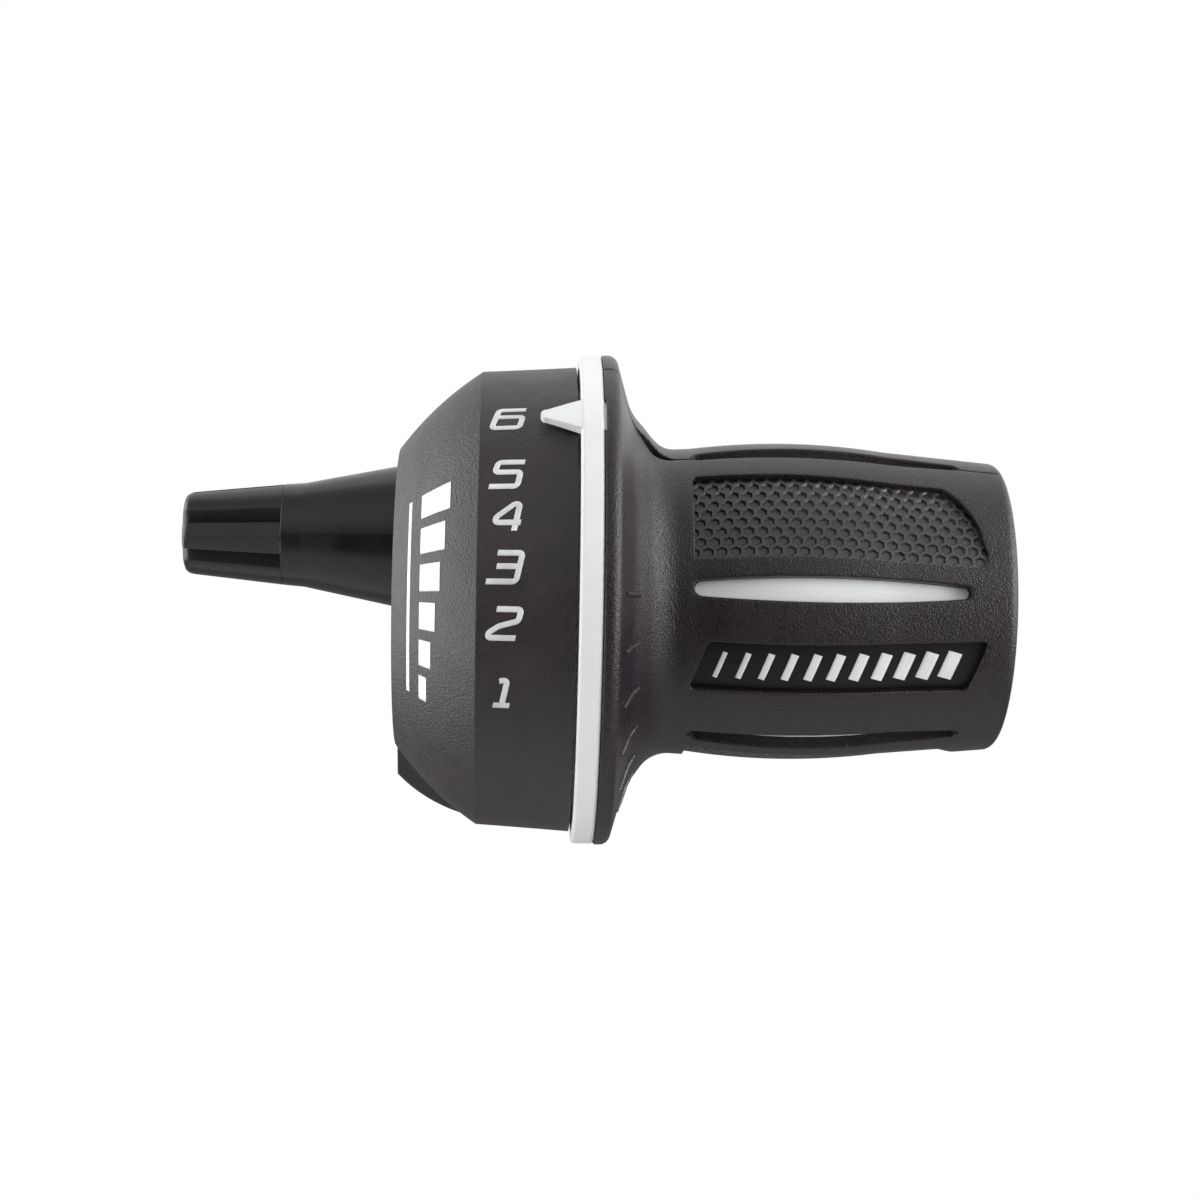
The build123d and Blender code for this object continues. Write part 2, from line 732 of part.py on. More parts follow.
# Rubber cover: bell and barrel turned in one, then slots, recesses and the seam
bell_middle = (
    slope_end + (bell_end - slope_end) * 0.27,
    neck_radius + (bell_slope_radius - neck_radius) * 0.36,
)
cover_edges = [
    Line((cover_start, cover_bore), (cover_start, cover_radius)),
    Line((cover_start, cover_radius), (rim_end, cover_radius)),
    Line((rim_end, cover_radius), (slope_end, bell_slope_radius)),
    ThreePointArc((slope_end, bell_slope_radius), bell_middle, (bell_end, neck_radius)),
    Line((bell_end, neck_radius), (barrel_start, barrel_start_radius)),
    ThreePointArc(
        (barrel_start, barrel_start_radius),
        (barrel_peak, barrel_peak_radius),
        (barrel_shoulder, barrel_shoulder_radius),
    ),
    Line((barrel_shoulder, barrel_shoulder_radius), (overall_length, barrel_end_radius)),
    Line((overall_length, barrel_end_radius), (overall_length, cover_bore)),
    Line((overall_length, cover_bore), (cover_start, cover_bore)),
]
grip_cover = revolve(make_face(cover_edges), Axis.X)
grip_cover = fillet(rims(grip_cover, rim_end, rim_radius), rim_round)
end_round = min(cover_end_round, (barrel_end_radius - cover_bore) * 0.8)
grip_cover = fillet(rims(grip_cover, overall_length, cover_bore + seat_gap), end_round)

slot_cut = slot_prism(0)
for slot_angle in slot_angles:
    grip_cover -= around(slot_angle) * slot_cut

# Pads: shallow recesses with one end cut back on a curve, which carry the texture
pad_half = barrel_peak_radius * sin(radians(pad_half_angle))
pad_toe_start = (pad_long_end - pad_toe * 0.38, -pad_half)
pad_toe_tip = (pad_long_end, -pad_half + pad_toe * 0.46)
pad_toe_end = (pad_long_end - pad_toe * 0.12, -pad_half + pad_toe)
pad_bow = (pad_long_end - pad_toe * 0.62, pad_half * 0.2)
pad_heel = (pad_short_end - pad_toe * 0.23, pad_half - pad_toe * 0.35)
pad_sheet = make_face(
    [
        Line((pad_start, -pad_half), pad_toe_start),
        ThreePointArc(pad_toe_start, pad_toe_tip, pad_toe_end),
        ThreePointArc(pad_toe_end, pad_bow, pad_heel),
        Line(pad_heel, (slot_widest, pad_half)),
        Line((slot_widest, pad_half), (pad_start, pad_half)),
        Line((pad_start, pad_half), (pad_start, -pad_half)),
    ]
)
pad_prism = extrude(pad_sheet, 3 * ring_radius, dir=(0, 0, 1))
pad_cut = pad_prism - barrel_solid(pad_depth)
for pad_angle in pad_angles:
    grip_cover -= around(pad_angle) * pad_cut

# Panels: smooth slanted recesses between the pads
panel_half = barrel_peak_radius * sin(radians(panel_half_angle))
panel_sheet = make_face(
    Polyline(
        (panel_start, -panel_half),
        (panel_end, -panel_half),
        (panel_end + panel_slant, panel_half),
        (panel_start + panel_slant, panel_half),
        close=True,
    )
)
panel_prism = extrude(panel_sheet, 3 * ring_radius, dir=(0, 0, 1))
panel_cut = panel_prism - barrel_solid(panel_depth)
for panel_angle in panel_angles:
    grip_cover -= around(panel_angle) * panel_cut

# Seam along the whole cover, which gapes where the bell turns into the barrel
seam_half = seam_width / 2
seam_bottom = cover_bore + seam_floor
seam_cut = block(cover_start - 1, overall_length + 1, -seam_half, seam_half, seam_bottom, 2 * ring_radius)
gape_start = (rim_end + slope_end) / 2
gape_middle = (bell_end + slope_end) / 2
gape_end = barrel_start + seam_gape / 2
gape_sheet = make_face(
    [
        ThreePointArc((gape_start, 0), (gape_middle, seam_gape / 2), (gape_end, 0)),
        ThreePointArc((gape_end, 0), (gape_middle, -seam_gape / 2), (gape_start, 0)),
    ]
)
gape_cut = extrude(Pos(0, 0, seam_bottom) * gape_sheet, 2 * ring_radius, dir=(0, 0, 1))
grip_cover -= around(seam_angle) * seam_cut
grip_cover -= around(seam_angle) * gape_cut
notch_side = key_half + seat_gap
key_notch = block(cover_start - 1, key_end + seat_gap, -notch_side, notch_side, 0, 2 * ring_radius)
key_notch -= tube(0, overall_length, key_bottom - seat_gap, 0)
grip_cover -= around(pointer_angle) * key_notch

# Split ring that holds the grip on the sleeve
clip_radius = sleeve_radius + clip_reach
retaining_ring = tube(clip_start, clip_end, clip_radius, clip_floor + seat_gap)
retaining_ring -= around(-90) * block(0, overall_length, -clip_split / 2, clip_split / 2, 0, 2 * ring_radius)

# Detent spring: a bent leaf with a round nose and two upright ends held in the seats
leaf_slope = leaf_rise / leaf_half_span
half = leaf_thickness / 2
rise = half * hypot(1, leaf_slope)
nose = leaf_nose_radius + leaf_thickness / 2
leaf_sheet = make_face(
    Polyline(
        (-leaf_half_span - half, leaf_seat_z + leaf_tab),
        (-leaf_half_span - half, leaf_seat_z - rise + half * leaf_slope),
        (0, nose - rise),
        (leaf_half_span + half, leaf_seat_z - rise + half * leaf_slope),
        (leaf_half_span + half, leaf_seat_z + leaf_tab),
        (leaf_half_span - half, leaf_seat_z + leaf_tab),
        (leaf_half_span - half, leaf_seat_z + rise - half * leaf_slope),
        (0, nose + rise),
        (-leaf_half_span + half, leaf_seat_z + rise - half * leaf_slope),
        (-leaf_half_span + half, leaf_seat_z + leaf_tab),
        close=True,
    )
)
leaf = Pos(leaf_start, 0, 0) * extrude(Plane.YZ * leaf_sheet, leaf_width)
detent_spring = around(detent_angle) * leaf

pieces = {
    "housing": housing,
    "clamp_screw": clamp_screw,
    "clamp_washer": clamp_washer,
    "clamp_nut": clamp_nut,
    "thread_insert": thread_insert,
    "cable_guide": cable_guide,
    "barrel_adjuster": barrel_adjuster,
    "adjuster_washer": adjuster_washer,
    "adjuster_spring": adjuster_spring,
    "slip_washer": slip_washer,
    "cable_drum": cable_drum,
    "grip_core": grip_core,
    "indicator_ring": indicator_ring,
    "grip_cover": grip_cover,
    "retaining_ring": retaining_ring,
    "detent_spring": detent_spring,
}

os.makedirs("parts", exist_ok=True)
for name, piece in pieces.items():
    export_step(piece, "parts/" + name + ".step")
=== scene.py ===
"""Looks for an indexed twist shifter: housing, cable adjuster, pointer ring and rubber grip.

Metres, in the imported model's frame: +X along the bar toward its end, -Y to the rider, +Z up.
The part's sizes are millimetres, and angles are measured around the bar, up from the rider's side.
"""

from math import acos, atan2, ceil, cos, degrees, dist, exp, pi, radians, sin, sqrt, tan

import bmesh
import bpy
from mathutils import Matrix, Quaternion, Vector
from mathutils.geometry import delaunay_2d_cdt


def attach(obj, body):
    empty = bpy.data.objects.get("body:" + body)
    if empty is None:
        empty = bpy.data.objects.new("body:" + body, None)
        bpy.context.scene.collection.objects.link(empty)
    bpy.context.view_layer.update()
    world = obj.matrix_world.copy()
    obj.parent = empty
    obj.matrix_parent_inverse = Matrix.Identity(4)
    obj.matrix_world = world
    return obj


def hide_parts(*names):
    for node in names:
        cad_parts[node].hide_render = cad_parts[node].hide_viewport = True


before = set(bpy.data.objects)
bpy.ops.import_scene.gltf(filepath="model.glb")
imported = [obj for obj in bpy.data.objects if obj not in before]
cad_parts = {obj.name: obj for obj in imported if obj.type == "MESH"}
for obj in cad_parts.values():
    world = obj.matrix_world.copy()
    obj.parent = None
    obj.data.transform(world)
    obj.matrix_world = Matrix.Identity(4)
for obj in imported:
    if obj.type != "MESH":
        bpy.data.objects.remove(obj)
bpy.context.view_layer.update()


# Housing: one moulding of black glass-filled nylon with a fine spark-eroded skin, clamped on the bar.
# Its dome faces the rider's thumb, and its tapered wall carries the printed gear numbers.
mm = 0.001
housing_black = (0.0144, 0.0092, 0.0128, 1.0)
noise_roughness = 0.62
noise_limits = (0.3, 0.7)
shade_stops = (0.32, 0.68)
mottle_size = 3.5
mottle_detail = 4.0
mottle_swing = (-0.04, 0.05)


def feed(tree, node, inputs):
    """Gives inputs of a node their plain values, or the outputs that feed them."""
    for socket, source in inputs.items():
        if isinstance(source, bpy.types.NodeSocket):
            tree.links.new(source, node.inputs[socket])
        else:
            node.inputs[socket].default_value = source


def add_node(tree, kind, inputs=None, **settings):
    """Adds a node with its options and what its inputs get."""
    node = tree.nodes.new(kind)
    for option, choice in settings.items():
        setattr(node, option, choice)
    feed(tree, node, inputs or {})
    return node


def shader_tree(name):
    """New material with an empty shader, and its node tree."""
    material = bpy.data.materials.new(name)
    material.use_nodes = True
    tree = material.node_tree
    tree.nodes.clear()
    shader = add_node(tree, "ShaderNodeBsdfPrincipled")
    add_node(tree, "ShaderNodeOutputMaterial", {"Surface": shader.outputs["BSDF"]})
    return material, tree, shader


def grain_noise(tree, size, detail):
    """Noise on the piece's own coordinates with grains of a size in millimetres."""
    place = add_node(tree, "ShaderNodeTexCoord").outputs["Object"]
    grains = {"Vector": place, "Scale": 1.0 / (size * mm), "Detail": detail, "Roughness": noise_roughness}
    return add_node(tree, "ShaderNodeTexNoise", grains).outputs["Fac"]


def value_between(tree, source, low, high, limits=noise_limits):
    """Turns what a source gives within its limits into a value from low to high."""
    ends = {"From Min": limits[0], "From Max": limits[1], "To Min": low, "To Max": high}
    return add_node(tree, "ShaderNodeMapRange", {"Value": source, **ends}).outputs["Result"]


def colour_between(tree, source, dark, light):
    """A colour that a noise moves between two shades."""
    ramp = add_node(tree, "ShaderNodeValToRGB", {"Fac": source})
    for element, stop, shade in zip(ramp.color_ramp.elements, shade_stops, (dark, light)):
        element.position = stop
        element.color = shade
    return ramp.outputs["Color"]


def shaded(colour, factor):
    """The colour made darker or lighter."""
    return tuple(min(1.0, channel * factor) for channel in colour[:3]) + (1.0,)


def moulded(name, colour, rough, grain, relief, edge=0.0, spread=0.14, detail=3.0, gloss=0.5):
    """Moulded plastic or rubber, ink or paint: mottled colour, an eroded skin, softly broken edges."""
    material, tree, shader = shader_tree(name)
    mottle = grain_noise(tree, mottle_size, mottle_detail)
    skin = grain_noise(tree, grain, detail)
    bump = add_node(tree, "ShaderNodeBump", {"Height": skin, "Distance": relief * mm, "Strength": 1.0})
    if edge:
        soft = add_node(tree, "ShaderNodeBevel", {"Radius": edge * mm}, samples=4)
        feed(tree, bump, {"Normal": soft.outputs["Normal"]})
    looks = {
        "Base Color": colour_between(tree, mottle, shaded(colour, 1 - spread), shaded(colour, 1 + spread)),
        "Roughness": value_between(tree, mottle, rough + mottle_swing[0], rough + mottle_swing[1]),
        "Specular IOR Level": gloss,
        "Normal": bump.outputs["Normal"],
    }
    feed(tree, shader, looks)
    return material


def finish_node(node, material):
    """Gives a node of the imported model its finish."""
    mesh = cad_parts[node].data
    mesh.materials.clear()
    mesh.materials.append(material)


eroded_skin = {"rough": 0.44, "grain": 0.26, "relief": 0.11, "edge": 0.2, "detail": 2.0}
finish_node("housing", moulded("housing_nylon", housing_black, **eroded_skin))


# Numbers and gear ramp: pale ink, pad-printed on the housing's wall and dome and a little worn.
# The ramp of six blocks shows low to high gear, and the thin line below it closes the print.
wall_start = (9.6, 26.8)
wall_end = (20.5, 27.5)
dome_start = (0.0, 17.6)
dome_bulge = 0.6
strip_pitch = 10
number_station = 12.75
number_slant = 0.2
number_stroke = 0.64
number_angles = (-22.3, -5.8, 7.2, 19.8, 30.3, 48.0)
number_strokes = (
    (((-0.75, 1.3), (0.1, 1.57), (0.1, -1.57)), ((-0.85, -1.57), (0.95, -1.57))),
    (((-1.2, 1.57), (1.5, 1.57), (1.4, 0.3), (-0.6, -0.3), (-1.5, -1.0), (-1.6, -1.57), (1.5, -1.57)),),
    (((-1.2, 1.57), (1.5, 1.57), (1.45, -1.57), (-1.8, -1.57)), ((-1.0, 0.1), (1.3, 0.1))),
    (((1.2, -1.9), (1.2, 1.75), (-1.75, -0.95), (1.75, -0.95)),),
    (((1.6, 1.57), (-1.3, 1.57), (-1.45, 0.25), (1.4, 0.25), (1.4, -1.57), (-1.7, -1.57)),),
    (((1.6, 1.57), (-1.4, 1.57), (-1.55, -1.57), (1.5, -1.57), (1.55, 0.25), (-1.45, 0.3)),),
)
ramp_start = 5.1
ramp_first = 1.2
ramp_growth = 0.64
ramp_step = 11.0
ramp_block = 3.1
ramp_block_splits = 6
ramp_radius = 22.6
ramp_line = 3.2
ramp_line_width = 0.5
ramp_line_splits = 20
ink_grey = (0.60, 0.60, 0.59, 1.0)
ink_white = (0.78, 0.78, 0.77, 1.0)


def around_bar(x, angle, radius):
    """Point at a station along the bar, an angle around it and a radius, in millimetres and degrees."""
    turn = radians(angle)
    return Vector((x, -radius * cos(turn), radius * sin(turn))) * mm


def between(first, last, share):
    """Value a share of the way from the first to the last."""
    return first + (last - first) * share


def in_scene(name, data):
    """New object of a mesh, a lamp or a camera, linked to the scene."""
    thing = bpy.data.objects.new(name, data)
    bpy.context.scene.collection.objects.link(thing)
    return thing


def plain_mesh(name, points, edges, faces):
    """New mesh of points, edges and faces."""
    mesh = bpy.data.meshes.new(name)
    mesh.from_pydata(points, edges, faces)
    return mesh


def node_group(name, inputs):
    """Empty geometry tree with named inputs, its input and its output."""
    tree = bpy.data.node_groups.new(name, "GeometryNodeTree")
    for label, kind in inputs.items():
        tree.interface.new_socket(label, in_out="INPUT", socket_type="NodeSocket" + kind)
    tree.interface.new_socket("Shape", in_out="OUTPUT", socket_type="NodeSocketGeometry")
    return tree, tree.nodes.new("NodeGroupInput").outputs, tree.nodes.new("NodeGroupOutput").inputs["Shape"]


def close_group(tree, geometry, finish, sink):
    """Ends a geometry tree in plain geometry with its material."""
    real = add_node(tree, "GeometryNodeRealizeInstances", {"Geometry": geometry}).outputs["Geometry"]
    dressed = add_node(tree, "GeometryNodeSetMaterial", {"Geometry": real, "Material": finish})
    tree.links.new(dressed.outputs["Geometry"], sink)


def shaped_by_nodes(mesh, tree, sizes):
    """Plain mesh that a geometry tree makes from a mesh, with its named inputs set."""
    carrier = in_scene("carrier", mesh)
    modifier = carrier.modifiers.new("shape", "NODES")
    modifier.node_group = tree
    for item in tree.interface.items_tree:
        if item.in_out == "INPUT" and item.name in sizes:
            modifier[item.identifier] = sizes[item.name]
    graph = bpy.context.evaluated_depsgraph_get()
    shaped = bpy.data.meshes.new_from_object(carrier.evaluated_get(graph))
    carrier.modifiers.remove(modifier)
    bpy.data.objects.remove(carrier)
    return shaped


def line_mesh(name, lines):
    """Mesh of plain lines, each given by its points and the width that its stroke gets."""
    points = []
    edges = []
    widths = []
    for line, width in lines:
        first = len(points)
        points += [(place[0], place[1], 0.0) for place in line]
        edges += [(number, number + 1) for number in range(first, first + len(line) - 1)]
        widths += [width] * len(line)
    mesh = plain_mesh(name, points, edges, [])
    mesh.attributes.new("stroke", "FLOAT", "POINT").data.foreach_set("value", widths)
    return mesh


def stroke_group():
    """Geometry tree: lines become flat raised strokes with rounded corners."""
    inputs = {
        "Lines": "Geometry",
        "Corner radius": "Float",
        "Stroke height": "Float",
        "Splits": "Int",
        "Finish": "Material",
    }
    tree, given, sink = node_group("printed_strokes", inputs)
    lines = add_node(tree, "GeometryNodeMeshToCurve", {"Mesh": given["Lines"]}).outputs["Curve"]
    level = add_node(tree, "GeometryNodeSetCurveNormal", {"Curve": lines}, mode="Z_UP").outputs["Curve"]
    corners = {"Curve": level, "Radius": given["Corner radius"], "Count": 5, "Limit Radius": True}
    bent = add_node(tree, "GeometryNodeFilletCurve", corners, mode="POLY").outputs["Curve"]
    profile = {"Width": 1.0, "Height": given["Stroke height"]}
    section = add_node(tree, "GeometryNodeCurvePrimitiveQuadrilateral", profile).outputs["Curve"]
    width = add_node(tree, "GeometryNodeInputNamedAttribute", {"Name": "stroke"}, data_type="FLOAT")
    sweep = {"Curve": bent, "Profile Curve": section, "Scale": width.outputs["Attribute"], "Fill Caps": True}
    solid = add_node(tree, "GeometryNodeCurveToMesh", sweep).outputs["Mesh"]
    split = add_node(tree, "GeometryNodeSubdivideMesh", {"Mesh": solid, "Level": given["Splits"]})
    close_group(tree, split.outputs["Mesh"], given["Finish"], sink)
    return tree


def new_piece(name, mesh, body):
    """Object at the origin that rides on a body and takes a slot's finish."""
    piece = in_scene(name, mesh)
    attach(piece, body)
    return piece


def wrap_mesh(mesh, place):
    """Moves every point of a flat mesh to its place on the part."""
    for vertex in mesh.vertices:
        vertex.co = place(vertex.co)
    mesh.update()


def on_wall(flat):
    """Place on the housing's wall for a point of the printed numbers; each number has its own strip."""
    strip = round(flat.y / strip_pitch)
    rise = flat.y - strip_pitch * strip
    x = number_station + flat.x + number_slant * rise
    radius = between(wall_start[1], wall_end[1], (x - wall_start[0]) / (wall_end[0] - wall_start[0]))
    return around_bar(x, number_angles[strip] + degrees(rise / radius), radius + flat.z)


def on_dome(flat):
    """Place on the dome for a point of the ramp: along its bowed slope, and around it."""
    run = dist(dome_start, wall_start)
    along = ((wall_start[0] - dome_start[0]) / run, (wall_start[1] - dome_start[1]) / run)
    share = flat.x / run
    out = 4 * dome_bulge * share * (1 - share) + flat.z
    x = dome_start[0] + along[0] * flat.x - along[1] * out
    radius = dome_start[1] + along[1] * flat.x + along[0] * out
    return around_bar(x, degrees(flat.y / ramp_radius), radius)


strokes = stroke_group()
ink = moulded("pale_ink", ink_grey, rough=0.55, grain=0.2, relief=0.01, spread=0.16)
number_lines = []
for strip, lines in enumerate(number_strokes):
    number_lines += [([(u, v + strip_pitch * strip) for u, v in line], number_stroke) for line in lines]
number_sizes = {"Corner radius": 0.42, "Stroke height": 0.06, "Splits": 1, "Finish": ink}
number_mesh = shaped_by_nodes(line_mesh("gear_numbers", number_lines), strokes, number_sizes)
wrap_mesh(number_mesh, on_wall)
new_piece("gear_numbers", number_mesh, "housing")

bold_ink = moulded("white_ink", ink_white, rough=0.5, grain=0.2, relief=0.008, spread=0.08)
gear_count = len(number_angles)
ramp_middle = (gear_count - 1) / 2
ramp_lines = []
for gear in range(gear_count):
    across = radians(ramp_step * (gear - ramp_middle)) * ramp_radius
    length = ramp_first + ramp_growth * gear
    steps = range(ramp_block_splits + 1)
    block = [(ramp_start + length * step / ramp_block_splits, across) for step in steps]
    ramp_lines.append((block, ramp_block))
line_half = radians(ramp_step * ramp_middle) * ramp_radius + ramp_block / 2
steps = range(-ramp_line_splits, ramp_line_splits + 1)
ramp_lines.append(([(ramp_line, line_half * step / ramp_line_splits) for step in steps], ramp_line_width))
ramp_sizes = {"Corner radius": 0.0, "Stroke height": 0.02, "Splits": 3, "Finish": bold_ink}
ramp_mesh = shaped_by_nodes(line_mesh("gear_ramp", ramp_lines), strokes, ramp_sizes)
wrap_mesh(ramp_mesh, on_dome)
new_piece("gear_ramp", ramp_mesh, "housing")


# Clamp screw, its washer and its square nut: zinc-plated steel, dropped into the housing's lump from
# behind. The screw draws the slit together on the bar.
zinc_grey = (0.46, 0.47, 0.48, 1.0)
mark_size = 0.9
mark_detail = 5.0
mark_spread = 0.1
mark_swing = (-0.06, 0.08)


def plated_metal(name, colour, rough):
    """Plated or drawn metal with fine tool marks."""
    material, tree, shader = shader_tree(name)
    marks = grain_noise(tree, mark_size, mark_detail)
    dark, light = shaded(colour, 1 - mark_spread), shaded(colour, 1 + mark_spread)
    looks = {
        "Base Color": colour_between(tree, marks, dark, light),
        "Roughness": value_between(tree, marks, rough + mark_swing[0], rough + mark_swing[1]),
        "Metallic": 1.0,
    }
    feed(tree, shader, looks)
    return material


zinc_plate = plated_metal("zinc_plate", zinc_grey, rough=0.46)
for clamp_piece in ("clamp_screw", "clamp_washer", "clamp_nut"):
    finish_node(clamp_piece, zinc_plate)


# Cable way: a brass tube pressed into the housing, and a nylon elbow that leads the cable to the drum.
# The tube carries the thread that the adjuster turns on.
brass_yellow = (0.70, 0.52, 0.24, 1.0)
nylon_cream = (0.72, 0.70, 0.62, 1.0)
finish_node("thread_insert", plated_metal("turned_brass", brass_yellow, rough=0.28))
natural_nylon = moulded("natural_nylon", nylon_cream, rough=0.42, grain=0.5, relief=0.004)
finish_node("cable_guide", natural_nylon)


# Cable adjuster: one glossy black moulding, a knob with six ribs and a hollow skirt over washer and spring.
# Its mould parts at the height of the axis, where a fine crease runs, and the ribs' sides follow the way
# in which the mould opens, a few degrees off upright.
adjuster_y = 19.26
adjuster_z = 7.587
skirt_corners = (
    (-0.6, 9.1, 0.3),
    (-12.9, 6.62, 3.0),
    (-15.5, 6.42, 0.12),
    (-15.58, 5.19, 0.1),
    (-27.9, 4.2, 0.5),
    (-27.9, 2.6, 0.25),
    (-19.9, 2.6, 0.0),
    (-19.9, 1.0, 0.0),
    (-8.5, 1.0, 0.0),
    (-8.5, 4.1, 0.0),
    (-6.8, 4.1, 0.0),
    (-6.8, 6.45, 0.0),
    (-0.6, 7.7, 0.15),
)
skirt_columns = 84
skirt_corner_steps = 5
last_creased_corner = 2
crease_half = 0.006
crease_rise = 0.2
crease_reach = 0.35
crease_trim = 0.05
rib_root = (-15.5, 6.38)
rib_tip = (-26.6, 5.24)
rib_tip_steps = ((-27.1, 5.16), (-27.5, 4.98), (-27.75, 4.72), (-27.86, 4.4))
rib_splits = 5
rib_scale = 5.95
rib_lean = radians(6.0)
rib_edge = 0.12
rib_sets = 2
front_rib_half = 1.85
front_rib_foot = 3.6
front_rib_ridge = 0.2
front_rib_fall = 0.4
side_rib_front = 4.7
side_rib_back = 1.0
side_rib_feet = (1.4, 3.9)
side_rib_steps = 9
adjuster_black = (0.0112, 0.0084, 0.0100, 1.0)
steel_grey = (0.42, 0.42, 0.43, 1.0)
weld_reach = 0.002
sliver_reach = 0.0001


def arc_points(first, middle, last, count):
    """Points on the circle through three points, from the first to the last."""
    (ax, ay), (bx, by), (cx, cy) = first, middle, last
    a, b, c = ax * ax + ay * ay, bx * bx + by * by, cx * cx + cy * cy
    twice = 2 * (ax * (by - cy) + bx * (cy - ay) + cx * (ay - by))
    ux = (a * (by - cy) + b * (cy - ay) + c * (ay - by)) / twice
    uy = (a * (cx - bx) + b * (ax - cx) + c * (bx - ax)) / twice
    radius = dist((ax, ay), (ux, uy))
    begin = atan2(ay - uy, ax - ux)
    to_middle = (atan2(by - uy, bx - ux) - begin) % (2 * pi)
    sweep = (atan2(cy - uy, cx - ux) - begin) % (2 * pi)
    if to_middle > sweep:
        sweep -= 2 * pi
    turns = [begin + sweep * step / count for step in range(count + 1)]
    return [(ux + radius * cos(turn), uy + radius * sin(turn)) for turn in turns]


def rounded_corner(before, corner, after, radius, count):
    """Points of the arc that rounds the corner between two straight runs."""
    corner = Vector(corner)
    back = (Vector(before) - corner).normalized()
    ahead = (Vector(after) - corner).normalized()
    half = back.angle(ahead) / 2
    reach = radius / tan(half)
    centre = corner + (back + ahead).normalized() * (radius / sin(half))
    middle = centre + (corner - centre).normalized() * radius
    return arc_points(corner + back * reach, middle, corner + ahead * reach, count)


def point_between(first, last, share):
    """Point a share of the way from the first to the last."""
    return tuple(between(near, far, share) for near, far in zip(first, last))


def band_faces(near, far, count, closed=True):
    """Faces between two rows of points that begin at two places in a list."""
    columns = [(column, (column + 1) % count) for column in range(count if closed else count - 1)]
    return [(near + this, near + after, far + after, far + this) for this, after in columns]


def closed_mesh(name, points, faces, materials, kinds=None, sharp=38.0):
    """Mesh with merged points, faces that point outward, and smooth shading up to its sharp edges."""
    mesh = plain_mesh(name, [tuple(point) for point in points], [], faces)
    for material in materials:
        mesh.materials.append(material)
    if kinds:
        mesh.polygons.foreach_set("material_index", kinds)
    shape = bmesh.new()
    shape.from_mesh(mesh)
    bmesh.ops.remove_doubles(shape, verts=shape.verts, dist=weld_reach * mm)
    bmesh.ops.dissolve_degenerate(shape, edges=shape.edges, dist=sliver_reach * mm)
    bmesh.ops.recalc_face_normals(shape, faces=shape.faces)
    shape.to_mesh(mesh)
    shape.free()
    mesh.shade_smooth()
    mesh.set_sharp_from_angle(angle=radians(sharp))
    return mesh


def reckon(tree, operation, first, second=0.0):
    """A sum of two numbers or outputs in a node tree."""
    return add_node(tree, "ShaderNodeMath", {0: first, 1: second}, operation=operation).outputs["Value"]


def set_around(tree, shape, count, turn):
    """Copies of a shape in a geometry tree, each turned about the X axis by one step more."""
    spots = add_node(tree, "GeometryNodePoints", {"Count": count}).outputs[0]
    number = add_node(tree, "GeometryNodeInputIndex").outputs["Index"]
    lie = add_node(tree, "ShaderNodeCombineXYZ", {"X": reckon(tree, "MULTIPLY", number, turn)})
    copies = {"Points": spots, "Instance": shape, "Rotation": lie.outputs["Vector"]}
    return add_node(tree, "GeometryNodeInstanceOnPoints", copies).outputs["Instances"]


def rib_group():
    """Geometry tree: a set of ribs is repeated around the knob's axis."""
    inputs = {"Ribs": "Geometry", "Sets": "Int", "Set turn": "Float", "Finish": "Material"}
    tree, given, sink = node_group("knob_ribs", inputs)
    ribs = set_around(tree, given["Ribs"], given["Sets"], given["Set turn"])
    close_group(tree, ribs, given["Finish"], sink)
    return tree


skirt_outline = []
for number, (x, radius, rounding) in enumerate(skirt_corners):
    before = skirt_corners[number - 1][:2]
    after = skirt_corners[(number + 1) % len(skirt_corners)][:2]
    if rounding:
        skirt_outline += rounded_corner(before, (x, radius), after, rounding, skirt_corner_steps)
    else:
        skirt_outline.append((x, radius))
    if number == last_creased_corner:
        creased_rows = len(skirt_outline)

crease_turns = [0.0, crease_half, pi - crease_half, pi, pi + crease_half, 2 * pi - crease_half]
even_turns = [2 * pi * (step + 0.5) / skirt_columns for step in range(skirt_columns)]
skirt_turns = sorted(crease_turns + even_turns)
skirt_width = len(skirt_turns)
adjuster_points = []
adjuster_faces = []
for row, (x, radius) in enumerate(skirt_outline):
    for turn in skirt_turns:
        away = min(turn % pi, pi - turn % pi)
        reach = radius
        if row < creased_rows:
            reach += crease_rise * exp(-away / crease_reach) - crease_trim
        adjuster_points.append(Vector((x, -reach * cos(turn), reach * sin(turn))))
    next_row = (row + 1) % len(skirt_outline)
    adjuster_faces += band_faces(row * skirt_width, next_row * skirt_width, skirt_width)


def rib_arc(radius, first, last, steps):
    """Points on the knob's round between two angles."""
    turns = [first + (last - first) * step / steps for step in range(steps + 1)]
    return [(-radius * cos(turn), radius * sin(turn)) for turn in turns]


def front_rib(radius):
    """Section of the rib at the parting line: a low roof with its ridge along the middle."""
    size = radius / rib_scale
    half = front_rib_half * size
    ridge = radius + front_rib_ridge * size
    eave = radius - front_rib_fall * size
    upper = [(-eave, half - rib_edge), (-eave + rib_edge, half), (-front_rib_foot * size, half)]
    lower = [(y, -z) for y, z in reversed(upper)]
    return lower + [(-ridge, 0.0)] + upper


def side_rib(radius):
    """Section of a rib beside the parting line, with upright sides."""
    size = radius / rib_scale
    front = side_rib_front * size
    back = side_rib_back * size
    low = acos((front - rib_edge) / radius)
    high = acos((back + rib_edge) / radius)
    front_foot, back_foot = [foot * size for foot in side_rib_feet]
    front_top = sqrt((radius - rib_edge) ** 2 - front * front)
    back_top = sqrt((radius - rib_edge) ** 2 - back * back)
    section = [(-front, front_foot), (-front, front_top)] + rib_arc(radius, low, high, side_rib_steps)
    return section + [(-back, back_top), (-back, back_foot)]


